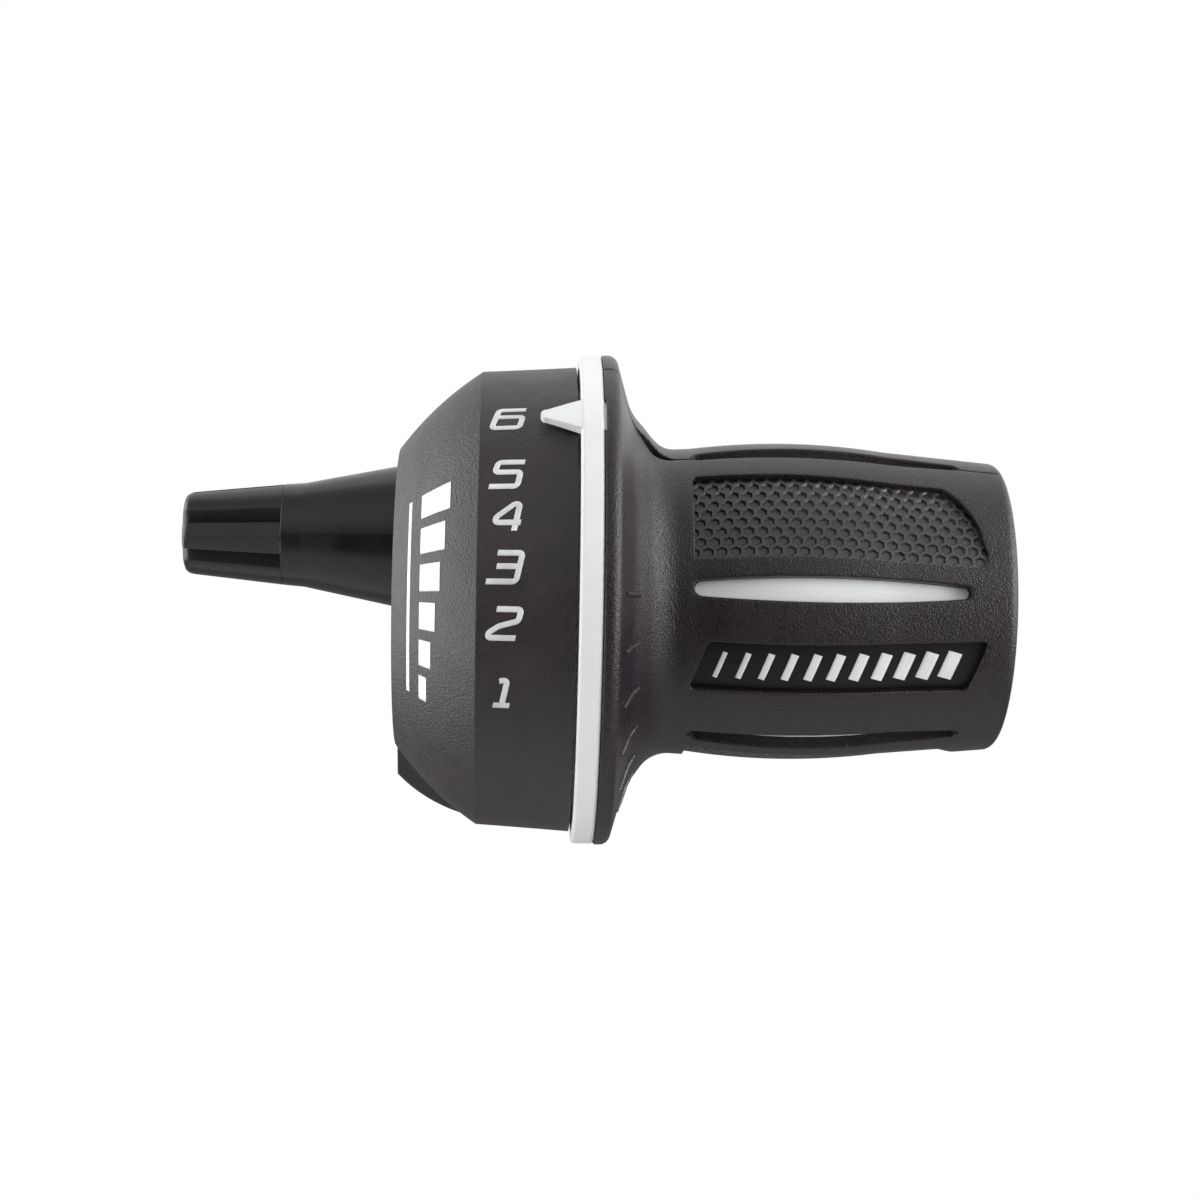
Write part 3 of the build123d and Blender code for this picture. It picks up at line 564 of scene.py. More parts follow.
def mirrored_rib(radius):
    """The side rib's section on the other side of the knob."""
    return [(-y, z) for y, z in side_rib(radius)]


rib_stations = [point_between(rib_root, rib_tip, step / rib_splits) for step in range(rib_splits + 1)]
rib_stations += list(rib_tip_steps)
rib_points = []
rib_faces = []
for rib_section in (front_rib, side_rib, mirrored_rib):
    first = len(rib_points)
    for x, radius in rib_stations:
        for y, z in rib_section(radius):
            leaning = (y * cos(rib_lean) - z * sin(rib_lean), y * sin(rib_lean) + z * cos(rib_lean))
            rib_points.append((x, *leaning))
    width = (len(rib_points) - first) // len(rib_stations)
    last = len(rib_points) - width
    for near in range(first, last, width):
        rib_faces += band_faces(near, near + width, width)
    rib_faces += [tuple(range(end, end + width)) for end in (first, last)]
rib_mesh = plain_mesh("knob_ribs", rib_points, [], rib_faces)

adjuster_nylon = moulded("adjuster_nylon", adjuster_black, rough=0.27, grain=0.35, relief=0.005, gloss=0.42)
rib_sizes = {"Sets": rib_sets, "Set turn": 2 * pi / rib_sets, "Finish": adjuster_nylon}
ribs_mesh = shaped_by_nodes(rib_mesh, rib_group(), rib_sizes)
rib_base = len(adjuster_points)
adjuster_points += [vertex.co.copy() for vertex in ribs_mesh.vertices]
for face in ribs_mesh.polygons:
    adjuster_faces.append(tuple(rib_base + corner for corner in face.vertices))
adjuster_axis = Vector((0.0, adjuster_y, adjuster_z))
adjuster_places = [(point + adjuster_axis) * mm for point in adjuster_points]
adjuster_mesh = closed_mesh("cable_adjuster", adjuster_places, adjuster_faces, [adjuster_nylon], sharp=26.0)
cable_adjuster = new_piece("cable_adjuster", adjuster_mesh, "adjuster")
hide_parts("barrel_adjuster")
finish_node("adjuster_washer", natural_nylon)
spring_steel = plated_metal("spring_steel", steel_grey, rough=0.30)
finish_node("adjuster_spring", spring_steel)


# Inside the housing: slip washer, index drum and the leaf spring that clicks into its notches.
# The drum is acetal, and the split ring at the far end holds the grip on the sleeve.
acetal_grey = (0.055, 0.056, 0.06, 1.0)
finish_node("slip_washer", natural_nylon)
drum_acetal = moulded("drum_acetal", acetal_grey, rough=0.38, grain=0.4, relief=0.004, edge=0.1)
finish_node("cable_drum", drum_acetal)
finish_node("detent_spring", spring_steel)
finish_node("retaining_ring", spring_steel)


# White core and ring: the core is the tube that the rubber sits on, seen only at the bottom of the slots.
# The ring lies between housing and grip, and its pointer runs over the numbers.
# Painted light: the core is the ring's white plastic, made lighter against the shade at the slots' bottoms.
core_white_painted_lighter = (0.86, 0.87, 0.87, 1.0)
# Painted shade: the ring's white is made darker against the light that falls on its top.
ring_white_painted_darker = (0.70, 0.71, 0.705, 1.0)
white_skin = {"rough": 0.40, "grain": 0.6, "relief": 0.003, "edge": 0.25, "spread": 0.02}
finish_node("grip_core", moulded("core_white", core_white_painted_lighter, **white_skin))
finish_node("indicator_ring", moulded("ring_white", ring_white_painted_darker, **white_skin))


# Rubber cover, moulded in one and pushed over the core: bell, barrel, six slots, three pads and three
# panels. It is slit along its top to go over the flange, and the slit gapes where the bell bends into
# the barrel.
cover_start = 23.45
cover_bore = 15.15
cover_face_rows = (22.0, 26.5)
cover_rim_radius = 29.0
cover_rim_end = 25.1
cover_rim_round = 1.2
cover_front_round = 0.25
bell_slope_end = (26.95, 22.45)
bell_slope_round = 8.0
bell_slope_step = 0.6
bell_cone_end = (28.85, 19.78)
bell_cone_step = 0.5
bell_middle = (30.2, 18.6)
bell_end = (32.3, 18.09)
neck_step = 0.55
barrel_start = (34.3, 18.2)
barrel_peak = (46.5, 19.0)
barrel_shoulder = (57.2, 18.2)
barrel_step = 0.75
cover_end = (70.8, 17.0)
cover_end_round = 1.2
cover_end_land = 0.25
slot_angles = (5.0, -58.0, -116.4, -174.8, 126.9)
slot_start = 33.9
slot_end = 65.3
slot_widest = 45.5
slot_half_widths = (0.95, 1.45, 0.75)
slot_lip = 0.24
slot_wall = 2.2
slot_steps = 60
pad_angles = (33.6, -86.0, 154.0)
pad_half = 5.8
pad_start = 33.9
pad_heel = (62.8, 4.9)
pad_bow = (65.6, 1.16)
pad_toe_end = (66.9, -3.2)
pad_toe_tip = (67.2, -4.6)
pad_toe_start = (66.2, -5.8)
pad_lip = 0.16
pad_wall = 1.5
panel_angles = (-23.5, -145.6, 97.0)
panel_half = 3.0
panel_start = 33.6
panel_end = 65.4
panel_slant = 2.0
panel_depth = 0.8
panel_lip = 0.25
panel_floor_rows = (-2.4, -1.6, -0.8, 0.0, 0.8, 1.6, 2.4)
panel_floor_margin = 0.4
outline_step = 0.3
lip_turn = 18
lip_turns = 6
seam_angle = 65.6
seam_half = 0.12
seam_wall = 1.1
seam_lip = 0.12
seam_step = 0.28
seam_fade_in = 1.5
seam_fade_out = 0.4
gape_start = 27.9
gape_widest = 29.5
gape_end = 32.6
gape_half = 0.6
gape_drop = 1.05
gape_lip = 0.12
gape_wall = 0.6
flap_middle = 29.0
flap_length = 1.5
flap_rise = 0.5
flap_fade = 0.9
split_slot_angle = 67.5
split_slot_blend = 0.9
key_angle = 46.0
key_half = 5.2
key_ramp = 0.5
key_notch = 0.22
key_foot = 26.6
key_reach = 0.3
skin_columns = 252
skin_margin = 0.3
recess_margin = 0.28
unroll_radius = 18.5
tiny_run = 1e-6
tiny_turn = 1e-9
tiny_angle = 1e-7
tiny_flat = 1e-7
skin_kind = 0
panel_kind = 1
rubber_black = (0.0084, 0.0038, 0.0078, 1.0)
panel_black = (0.0056, 0.0040, 0.0048, 1.0)


def straight_run(first, last, step):
    """Points between two points, without them, about a step apart."""
    count = max(1, ceil(dist(first, last) / step))
    return [point_between(first, last, number / count) for number in range(1, count)]


rim_corner = (cover_rim_end, cover_rim_radius)
front_corner = (cover_start, cover_rim_radius)
front_round = rounded_corner((cover_start, cover_bore), front_corner, rim_corner, cover_front_round, count=4)
rim_round = rounded_corner(front_corner, rim_corner, bell_slope_end, cover_rim_round, count=9)
slope_round = rounded_corner(rim_round[-1], bell_slope_end, bell_cone_end, bell_slope_round, count=6)
bell_arc = arc_points(bell_cone_end, bell_middle, bell_end, count=18)
barrel_arc = arc_points(barrel_start, barrel_peak, barrel_shoulder, count=31)
cover_end_foot = (cover_end[0], cover_bore + cover_end_land)
end_round = rounded_corner(barrel_shoulder, cover_end, cover_end_foot, cover_end_round, count=7)
bore_middle = ((cover_start + cover_end[0]) / 2, cover_bore)
face_foot = (cover_start, cover_face_rows[-1])
cover_profile = [bore_middle, (cover_start, cover_bore)]
cover_profile += [(cover_start, radius) for radius in cover_face_rows]
cover_profile += front_round + rim_round
cover_profile += straight_run(rim_round[-1], slope_round[0], bell_slope_step) + slope_round
cover_profile += straight_run(slope_round[-1], bell_cone_end, bell_cone_step) + bell_arc
cover_profile += straight_run(bell_end, barrel_start, neck_step) + barrel_arc
cover_profile += straight_run(barrel_shoulder, end_round[0], barrel_step) + end_round
cover_profile += [cover_end_foot, (cover_end[0], cover_bore), bore_middle]
slope_first = cover_profile.index(rim_round[-1])
neck_first = cover_profile.index(bell_arc[-1])
barrel_last = cover_profile.index(end_round[0])

# Distance along the profile, and the outward direction at each of its points
profile_run = [0.0]
for near, far in zip(cover_profile, cover_profile[1:]):
    profile_run.append(profile_run[-1] + dist(near, far))
profile_normal = []
for number in range(len(cover_profile)):
    near = cover_profile[max(0, number - 1)]
    far = cover_profile[min(len(cover_profile) - 1, number + 1)]
    span = dist(near, far)
    profile_normal.append(((near[1] - far[1]) / span, (far[0] - near[0]) / span))


def held(value):
    """The value, held from nought to one."""
    return min(1.0, max(0.0, value))


def on_profile(run):
    """Station, radius and outward direction at a distance along the profile."""
    number = 0
    while number < len(profile_run) - 2 and profile_run[number + 1] < run:
        number += 1
    share = held((run - profile_run[number]) / (profile_run[number + 1] - profile_run[number]))
    x, radius = point_between(cover_profile[number], cover_profile[number + 1], share)
    normal = Vector(point_between(profile_normal[number], profile_normal[number + 1], share)).normalized()
    return x, radius, normal


def on_skin(run, angle, sink=0.0):
    """Point of the cover, with the lifted flap and the key's notch, a little way below its skin."""
    x, radius, normal = on_profile(run)
    if profile_run[slope_first] < run < profile_run[barrel_last]:
        past = radians((angle - seam_angle) % 360)
        sink -= flap_rise * exp(-(((x - flap_middle) / flap_length) ** 2)) * exp(-past / flap_fade)
    if run < profile_run[slope_first] and radius > key_foot and x < cover_start + key_reach:
        off = abs((angle - key_angle + 180) % 360 - 180)
        x += key_notch * held((key_half - off) / key_ramp)
    return around_bar(x - normal.x * sink, angle, radius - normal.y * sink)


def barrel_at(x):
    """Radius of the barrel and distance along the profile at a station on it."""
    number = neck_first
    while number < barrel_last - 1 and cover_profile[number + 1][0] < x:
        number += 1
    (x0, r0), (x1, r1) = cover_profile[number], cover_profile[number + 1]
    share = (x - x0) / (x1 - x0)
    return between(r0, r1, share), between(profile_run[number], profile_run[number + 1], share)


def slot_half(x):
    """Half width of a slot at a station: a slim lens with round ends."""
    first, middle, last = slot_half_widths
    left, right = slot_start + first, slot_end - last
    if x <= slot_start or x >= slot_end:
        return 0.0
    if x < left:
        return sqrt(first * first - (left - x) ** 2)
    if x > right:
        return sqrt(last * last - (x - right) ** 2)
    lens = first * (x - slot_widest) * (x - right) / ((left - slot_widest) * (left - right))
    lens += middle * (x - left) * (x - right) / ((slot_widest - left) * (slot_widest - right))
    return lens + last * (x - left) * (x - slot_widest) / ((right - left) * (right - slot_widest))


def with_neighbours(points):
    """Each point of a closed outline between the one before it and the one after it."""
    return zip(points[-1:] + points[:-1], points, points[1:] + points[:1])


def even_outline(corners, passes):
    """Closed outline with points a step apart, its corners softened by a few passes of averaging."""
    points = []
    for near, far in zip(corners, corners[1:] + corners[:1]):
        points += [near] + straight_run(near, far, outline_step)
    for _ in range(passes):
        turn = with_neighbours(points)
        points = [((a[0] + 2 * b[0] + c[0]) / 4, (a[1] + 2 * b[1] + c[1]) / 4) for a, b, c in turn]
    return points


def grown_outline(points, reach):
    """The outline moved outward by a reach; the points run anticlockwise."""
    grown = []
    for before, point, after in with_neighbours(points):
        along = Vector((after[0] - before[0], after[1] - before[1])).normalized()
        grown.append((point[0] + along.y * reach, point[1] - along.x * reach))
    return grown


def on_barrel(x, arc, angle, depth):
    """Point below the barrel's skin at a station and an arc length from an angle."""
    radius = barrel_at(x)[0]
    return around_bar(x, angle + degrees(arc / radius), radius - depth)


slot_shares = [(1 - cos(pi * step / slot_steps)) / 2 for step in range(slot_steps + 1)]
slot_stations = [between(slot_start, slot_end, share) for share in slot_shares]
slot_edge = [(x, -slot_half(x)) for x in slot_stations]
slot_edge += [(x, slot_half(x)) for x in reversed(slot_stations[1:-1])]
slot_outline = even_outline(slot_edge, passes=1)
pad_corners = [(pad_start, -pad_half), pad_toe_start]
pad_corners += arc_points(pad_toe_start, pad_toe_tip, pad_toe_end, count=6)[1:]
pad_corners += arc_points(pad_toe_end, pad_bow, pad_heel, count=12)[1:]
pad_corners += [(slot_widest, pad_half), (pad_start, pad_half)]
pad_outline = even_outline(pad_corners, passes=3)
panel_corners = [
    (panel_start, -panel_half),
    (panel_end, -panel_half),
    (panel_end + panel_slant, panel_half),
    (panel_start + panel_slant, panel_half),
]
panel_outline = even_outline(panel_corners, passes=4)

recesses = [(slot_outline, angle, slot_lip, slot_wall, "slot") for angle in slot_angles]
recesses += [(pad_outline, angle, pad_lip, pad_wall, "pad") for angle in pad_angles]
recesses += [(panel_outline, angle, panel_lip, panel_depth, "panel") for angle in panel_angles]

# The slit: its half width to either side, its lip and its depth at distances along the profile
slit_first = profile_run[cover_profile.index(face_foot)]
slit_last = profile_run[cover_profile.index(cover_end_foot)]
slit_count = ceil((slit_last - slit_first) / seam_step)
slit_rows = []
for number in range(slit_count + 1):
    run = slit_first + (slit_last - slit_first) * number / slit_count
    x, radius, _ = on_profile(run)
    fade = min(1.0, (run - slit_first) / seam_fade_in, (slit_last - run) / seam_fade_out)
    low = seam_half
    high = seam_half
    lip = seam_lip
    depth = seam_wall
    opened = held((x - gape_start) / (gape_widest - gape_start))
    gape = sqrt(opened) * held((gape_end - x) / (gape_end - gape_widest))
    if gape > 0 and run > profile_run[slope_first]:
        low = max(low, gape_drop * gape)
        high = max(high, gape_half * gape)
        lip += gape_lip * gape
        depth += gape_wall * gape
    half = slot_half(x)
    if half > 0:
        offset = radians(split_slot_angle - seam_angle) * radius
        high = max(high, half + offset)
        low = max(low, half - offset)
        widen = min(1.0, half / split_slot_blend)
        lip += (slot_lip - seam_lip) * widen
        depth += (slot_wall - seam_wall) * widen
    slit_rows.append((run, radius, low * fade, high * fade, lip * fade, depth * fade))

# Skin: points on the unrolled cover, with the slit along both edges and a hole for every recess
skin_flat = []
skin_place = []
skin_mark = []
skin_edges = []


def add_skin(run, turn, mark):
    """Adds a point of the skin by its distance along the profile and its turn around the bar."""
    skin_flat.append(Vector((turn * unroll_radius, run)))
    skin_place.append(on_skin(run, degrees(turn)))
    skin_mark.append(mark)
    return len(skin_flat) - 1


first_turn = radians(seam_angle)
columns = [first_turn + 2 * pi * n / skin_columns for n in range(skin_columns + 1)]
outer_rows = [(run, 0.0, 0.0) for run in profile_run if run < slit_first - tiny_run]
for run, radius, low, high, lip, _ in slit_rows:
    outer_rows.append((run, (high + lip) / radius, (low + lip) / radius))
outer_rows += [(run, 0.0, 0.0) for run in profile_run if run > slit_last + tiny_run]
left_edge = []
right_edge = []
for run, after, before in outer_rows:
    left_edge.append(add_skin(run, first_turn + after, "left"))
    right_edge.append(add_skin(run, first_turn + 2 * pi - before - tiny_turn, "right"))
bottom_edge = [left_edge[0]]
top_edge = [left_edge[-1]]
for turn in columns[1:-1]:
    bottom_edge.append(add_skin(0.0, turn, "bottom"))
    top_edge.append(add_skin(profile_run[-1], turn, "top"))
bottom_edge.append(right_edge[0])
top_edge.append(right_edge[-1])
for edge in (left_edge, right_edge, bottom_edge, top_edge):
    skin_edges += list(zip(edge, edge[1:]))

recess_flat = []
for number, (outline, angle, lip, wall, kind) in enumerate(recesses):
    middle_turn = radians(angle)
    while middle_turn < first_turn:
        middle_turn += 2 * pi
    loop = []
    for x, arc in grown_outline(outline, lip):
        radius, run = barrel_at(x)
        loop.append(add_skin(run, middle_turn + arc / radius, number))
        skin_place[loop[-1]] = on_barrel(x, arc, angle, 0.0)
    skin_edges += list(zip(loop, loop[1:] + loop[:1]))
    border = []
    for x, arc in grown_outline(outline, lip + recess_margin):
        radius, run = barrel_at(x)
        border.append(((middle_turn + arc / radius) * unroll_radius, run))
    across, along = zip(*border)
    recess_flat.append((min(across), max(across), min(along), max(along), border))


def inside_recess(flat_x, flat_y):
    """True where a point of the unrolled skin lies in a recess or close to its edge."""
    for low_x, high_x, low_y, high_y, border in recess_flat:
        if not (low_x < flat_x < high_x and low_y < flat_y < high_y):
            continue
        inside = False
        for (ax, ay), (bx, by) in zip(border, border[1:] + border[:1]):
            if (ay > flat_y) != (by > flat_y) and flat_x < ax + (bx - ax) * (flat_y - ay) / (by - ay):
                inside = not inside
        if inside:
            return True
    return False


def slit_edges_at(run):
    """Turn of the skin's two edges at a distance along the profile."""
    for near, far in zip(outer_rows, outer_rows[1:]):
        if near[0] <= run <= far[0]:
            share = (run - near[0]) / max(tiny_turn, far[0] - near[0])
            _, after, before = point_between(near, far, share)
            return first_turn + after, first_turn + 2 * pi - before
    return first_turn, first_turn + 2 * pi


turn_margin = skin_margin / unroll_radius
for run in profile_run[1:-1]:
    low_turn, high_turn = slit_edges_at(run)
    for turn in columns[1:-1]:
        if turn < low_turn + turn_margin or turn > high_turn - turn_margin:
            continue
        if not inside_recess(turn * unroll_radius, run):
            add_skin(run, turn, None)

flat_points, _, flat_faces, point_source, _, _ = delaunay_2d_cdt(skin_flat, skin_edges, [], 0, tiny_flat)
cover_points = [skin_place[source[0]] for source in point_source]
cover_marks = [skin_mark[source[0]] for source in point_source]
cover_faces = []
cover_kinds = []
for face in flat_faces:
    mark = cover_marks[face[0]]
    if all(cover_marks[corner] == mark for corner in face):
        if isinstance(mark, int):
            continue
        if mark in ("left", "right"):
            middle = (flat_points[face[0]] + flat_points[face[1]] + flat_points[face[2]]) / 3
            low_turn, high_turn = slit_edges_at(middle.y)
            if not low_turn * unroll_radius < middle.x < high_turn * unroll_radius:
                continue
    cover_faces.append(tuple(face))
    cover_kinds.append(skin_kind)


def add_ring_faces(rings, closed):
    """Adds bands of faces between rings of points."""
    width = len(rings[0])
    first = len(cover_points)
    for ring in rings:
        cover_points.extend(ring)
    for near in range(first, len(cover_points) - width, width):
        band = band_faces(near, near + width, width, closed)
        cover_faces.extend(band)
        cover_kinds.extend([skin_kind] * len(band))


def lip_steps(lip, wall):
    """Offsets and depths of a rounded lip and the wall below it."""
    turns = [radians(lip_turn * step) for step in range(lip_turns)]
    return [(lip * (1 - sin(turn)), lip * (1 - cos(turn))) for turn in turns] + [(0.0, wall)]


for outline, angle, lip, wall, kind in recesses:
    rings = []
    for reach, depth in lip_steps(lip, wall):
        rings.append([on_barrel(x, arc, angle, depth) for x, arc in grown_outline(outline, reach)])
    add_ring_faces(rings, True)
    floor_flat = [Vector(point) for point in outline]
    rim_count = len(floor_flat)
    if kind == "panel":
        for step in range(1, int(panel_end + panel_slant - panel_start)):
            for arc in panel_floor_rows:
                x = panel_start + step
                shear = panel_slant * (arc + panel_half) / (2 * panel_half)
                if panel_start + shear + panel_floor_margin < x < panel_end + shear - panel_floor_margin:
                    floor_flat.append(Vector((x, arc)))
    loop = [(number, (number + 1) % rim_count) for number in range(rim_count)]
    rim = [list(range(rim_count))]
    points, _, faces, _, _, _ = delaunay_2d_cdt(floor_flat, loop, rim, 1, tiny_flat)
    base = len(cover_points)
    cover_points += [on_barrel(point.x, point.y, angle, wall) for point in points]
    cover_faces += [tuple(base + corner for corner in face) for face in faces]
    cover_kinds += [panel_kind if kind == "panel" else skin_kind] * len(faces)

slit_rings = []
for side in (1, -1):
    rows = []
    for run, radius, low, high, lip, depth in slit_rows:
        half = high if side > 0 else low
        row = []
        for reach, sink in lip_steps(lip, depth):
            turn = degrees((half + reach) / radius)
            row.append(on_skin(run, seam_angle + (turn if side > 0 else 360 - turn - tiny_angle), sink))
        rows.append(row)
    slit_rings.append(list(zip(*rows)))
add_ring_faces(slit_rings[0] + slit_rings[1][::-1], False)

rubber_skin = {"spread": 0.16, "detail": 2.0}
grip_rubber = moulded("grip_rubber", rubber_black, 0.30, grain=0.22, relief=0.13, gloss=0.42, **rubber_skin)
panel_rubber = moulded("panel_rubber", panel_black, 0.46, grain=0.5, relief=0.006, gloss=0.24)
cover_finishes = [grip_rubber, panel_rubber]
cover_mesh = closed_mesh("rubber_cover", cover_points, cover_faces, cover_finishes, cover_kinds)
rubber_cover = new_piece("rubber_cover", cover_mesh, "grip")
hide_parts("grip_cover")


# Dimpled pads: the same rubber, with a close field of six-sided dimples where the thumb and finger press.
# Each pad lies deepest along its upper edge and runs out to the skin along its lower one.
dimple_pitch = 1.55
dimple_share = 0.78
dimple_floor_share = 0.72
dimple_depth = 0.27
dimple_sides = 6
dimple_turn = radians(30)
field_columns = 24
field_rows = 11
field_lead = 0.55 * dimple_pitch
field_drop = 0.6
field_weld = 0.02
pad_margin = 0.85
pad_deep = 0.60
pad_shallow = 0.12
pad_flat = 0.42
pad_least = 0.02
pad_thickness = 0.3
pad_sharp = radians(30)


def dimple_group():
    """Geometry tree: six-sided cells with a dimple fill an outline in staggered rows."""
    inputs = {
        "Outline": "Geometry",
        "Cells": "Int",
        "Columns": "Float",
        "Pitch": "Float",
        "Corner": "Vector",
        "Dimple share": "Float",
        "Floor share": "Float",
        "Dimple depth": "Float",
        "Finish": "Material",
    }
    tree, given, sink = node_group("pad_dimples", inputs)
    index = add_node(tree, "GeometryNodeInputIndex").outputs["Index"]
    row = reckon(tree, "FLOOR", reckon(tree, "DIVIDE", index, given["Columns"]))
    column = reckon(tree, "MODULO", index, given["Columns"])
    stagger = reckon(tree, "MULTIPLY", reckon(tree, "MODULO", row, 2.0), 0.5)
    across = reckon(tree, "MULTIPLY", reckon(tree, "ADD", column, stagger), given["Pitch"])
    up = reckon(tree, "MULTIPLY", row, reckon(tree, "MULTIPLY", given["Pitch"], sqrt(3) / 2))
    spot = add_node(tree, "ShaderNodeCombineXYZ", {"X": across, "Y": up}).outputs["Vector"]
    moved = add_node(tree, "ShaderNodeVectorMath", {0: spot, 1: given["Corner"]}, operation="ADD")
    place = moved.outputs["Vector"]
    cells = add_node(tree, "GeometryNodePoints", {"Count": given["Cells"], "Position": place})
    above = add_node(tree, "ShaderNodeVectorMath", {0: place, 1: (0.0, 0.0, 1.0)}, operation="ADD")
    look = {
        "Target Geometry": given["Outline"],
        "Source Position": above.outputs["Vector"],
        "Ray Direction": (0.0, 0.0, -1.0),
        "Ray Length": 2.0,
    }
    found = add_node(tree, "GeometryNodeRaycast", look).outputs["Is Hit"]
    missed = add_node(tree, "FunctionNodeBooleanMath", {0: found}, operation="NOT").outputs["Boolean"]
    kept = add_node(tree, "GeometryNodeDeleteGeometry", {"Geometry": cells.outputs[0], "Selection": missed})
    reach = {"Radius": reckon(tree, "DIVIDE", given["Pitch"], sqrt(3)), "Vertices": dimple_sides}
    cell = add_node(tree, "GeometryNodeMeshCircle", reach, fill_type="NGON").outputs["Mesh"]
    lie = {"Geometry": cell, "Rotation": (0.0, 0.0, dimple_turn)}
    cell = add_node(tree, "GeometryNodeTransform", lie).outputs["Geometry"]
    rim = add_node(tree, "GeometryNodeExtrudeMesh", {"Mesh": cell, "Offset Scale": 0.0}).outputs
    shrink = {"Geometry": rim["Mesh"], "Selection": rim["Top"], "Scale": given["Dimple share"]}
    mouth = add_node(tree, "GeometryNodeScaleElements", shrink).outputs["Geometry"]
    down = reckon(tree, "MULTIPLY", given["Dimple depth"], -1.0)
    dent = {"Mesh": mouth, "Selection": rim["Top"], "Offset Scale": down}
    sunk = add_node(tree, "GeometryNodeExtrudeMesh", dent).outputs
    draw = {"Geometry": sunk["Mesh"], "Selection": sunk["Top"], "Scale": given["Floor share"]}
    dimple = add_node(tree, "GeometryNodeScaleElements", draw).outputs["Geometry"]
    copies = {"Points": kept.outputs["Geometry"], "Instance": dimple}
    field = add_node(tree, "GeometryNodeInstanceOnPoints", copies)
    close_group(tree, field.outputs["Instances"], given["Finish"], sink)
    return tree


pad_rubber = moulded("pad_rubber", rubber_black, 0.40, grain=0.3, relief=0.07, gloss=0.85, **rubber_skin)
field_outline = [(x, arc, 0.0) for x, arc in grown_outline(pad_outline, pad_margin)]
field_flat = plain_mesh("pad_field", field_outline, [], [tuple(range(len(field_outline)))])
field_sizes = {
    "Cells": field_columns * field_rows,
    "Columns": float(field_columns),
    "Pitch": dimple_pitch,
    "Corner": (pad_start - field_lead, -pad_half - field_drop, 0.0),
    "Dimple share": dimple_share,
    "Floor share": dimple_floor_share,
    "Dimple depth": dimple_depth,
    "Finish": pad_rubber,
}
field_mesh = shaped_by_nodes(field_flat, dimple_group(), field_sizes)
pads = bmesh.new()
for angle in pad_angles:
    field = bmesh.new()
    field.from_mesh(field_mesh)
    bmesh.ops.remove_doubles(field, verts=field.verts, dist=field_weld)
    bmesh.ops.recalc_face_normals(field, faces=field.faces)
    for vertex in field.verts:
        x, arc, rise = vertex.co
        up = arc / pad_half
        sink = (pad_deep + pad_shallow) / 2 + (pad_deep - pad_shallow) / 2 * up
        sink += pad_flat * max(0.0, 1 - up * up)
        vertex.co = on_barrel(x, arc, angle, max(pad_least, sink) - rise)
    bmesh.ops.recalc_face_normals(field, faces=field.faces)
    bmesh.ops.solidify(field, geom=field.faces[:], thickness=pad_thickness * mm)
    pad_mesh = bpy.data.meshes.new("pad")
    field.to_mesh(pad_mesh)
    field.free()
    pads.from_mesh(pad_mesh)
pads_mesh = bpy.data.meshes.new("dimpled_pads")
pads.to_mesh(pads_mesh)
pads.free()
pads_mesh.materials.append(pad_rubber)
pads_mesh.shade_smooth()
pads_mesh.set_sharp_from_angle(angle=pad_sharp)
new_piece("dimpled_pads", pads_mesh, "grip")


# Panel bars: slanted bars of white plastic, inlays that stand a hair above the smooth floor of each panel.
# They grow wider from the bell toward the end of the bar.
bar_count = 11
bar_first = 37.0
bar_pitch = 2.62
bar_height = 3.3
bar_splits = 4
bar_width = 0.55
bar_growth = 0.11
bar_colour = (0.66, 0.68, 0.69, 1.0)


def on_panel(flat):
    """Place on the floor of a panel; each panel has its own strip."""
    strip = round(flat.y / strip_pitch)
    return on_barrel(flat.x, flat.y - strip_pitch * strip, panel_angles[strip], panel_depth - flat.z)


bar_white = moulded("bar_white", bar_colour, rough=0.45, grain=0.5, relief=0.004, spread=0.04)
bar_lean = bar_height / 2 * panel_slant / (2 * panel_half)
bar_lines = []
for strip in range(len(panel_angles)):
    for number in range(bar_count):
        x = bar_first + bar_pitch * number
        foot = (x - bar_lean, strip_pitch * strip - bar_height / 2)
        head = (x + bar_lean, strip_pitch * strip + bar_height / 2)
        bar = [foot] + straight_run(foot, head, bar_height / bar_splits) + [head]
        bar_lines.append((bar, bar_width + bar_growth * number))
bar_sizes = {"Corner radius": 0.0, "Stroke height": 0.05, "Splits": 2, "Finish": bar_white}
bar_mesh = shaped_by_nodes(line_mesh("panel_bars", bar_lines), strokes, bar_sizes)
wrap_mesh(bar_mesh, on_panel)
new_piece("panel_bars", bar_mesh, "grip")


# Bell ticks: fine raised ridges on the slope of the bell, moulded with it, for the fingers to feel.
# They stand on the rider's side, one for each gear.
tick_angle = 1.6
tick_turn = radians(14.4)
tick_radius = 0.52
tick_first = 26.0
tick_last = 21.0
tick_sides = 10
tick_end_girth = 0.04
tick_roundness = 0.4
tick_swell = (0.5, 1.5)
tick_swell_scale = 1.6
tick_seed = 3.0


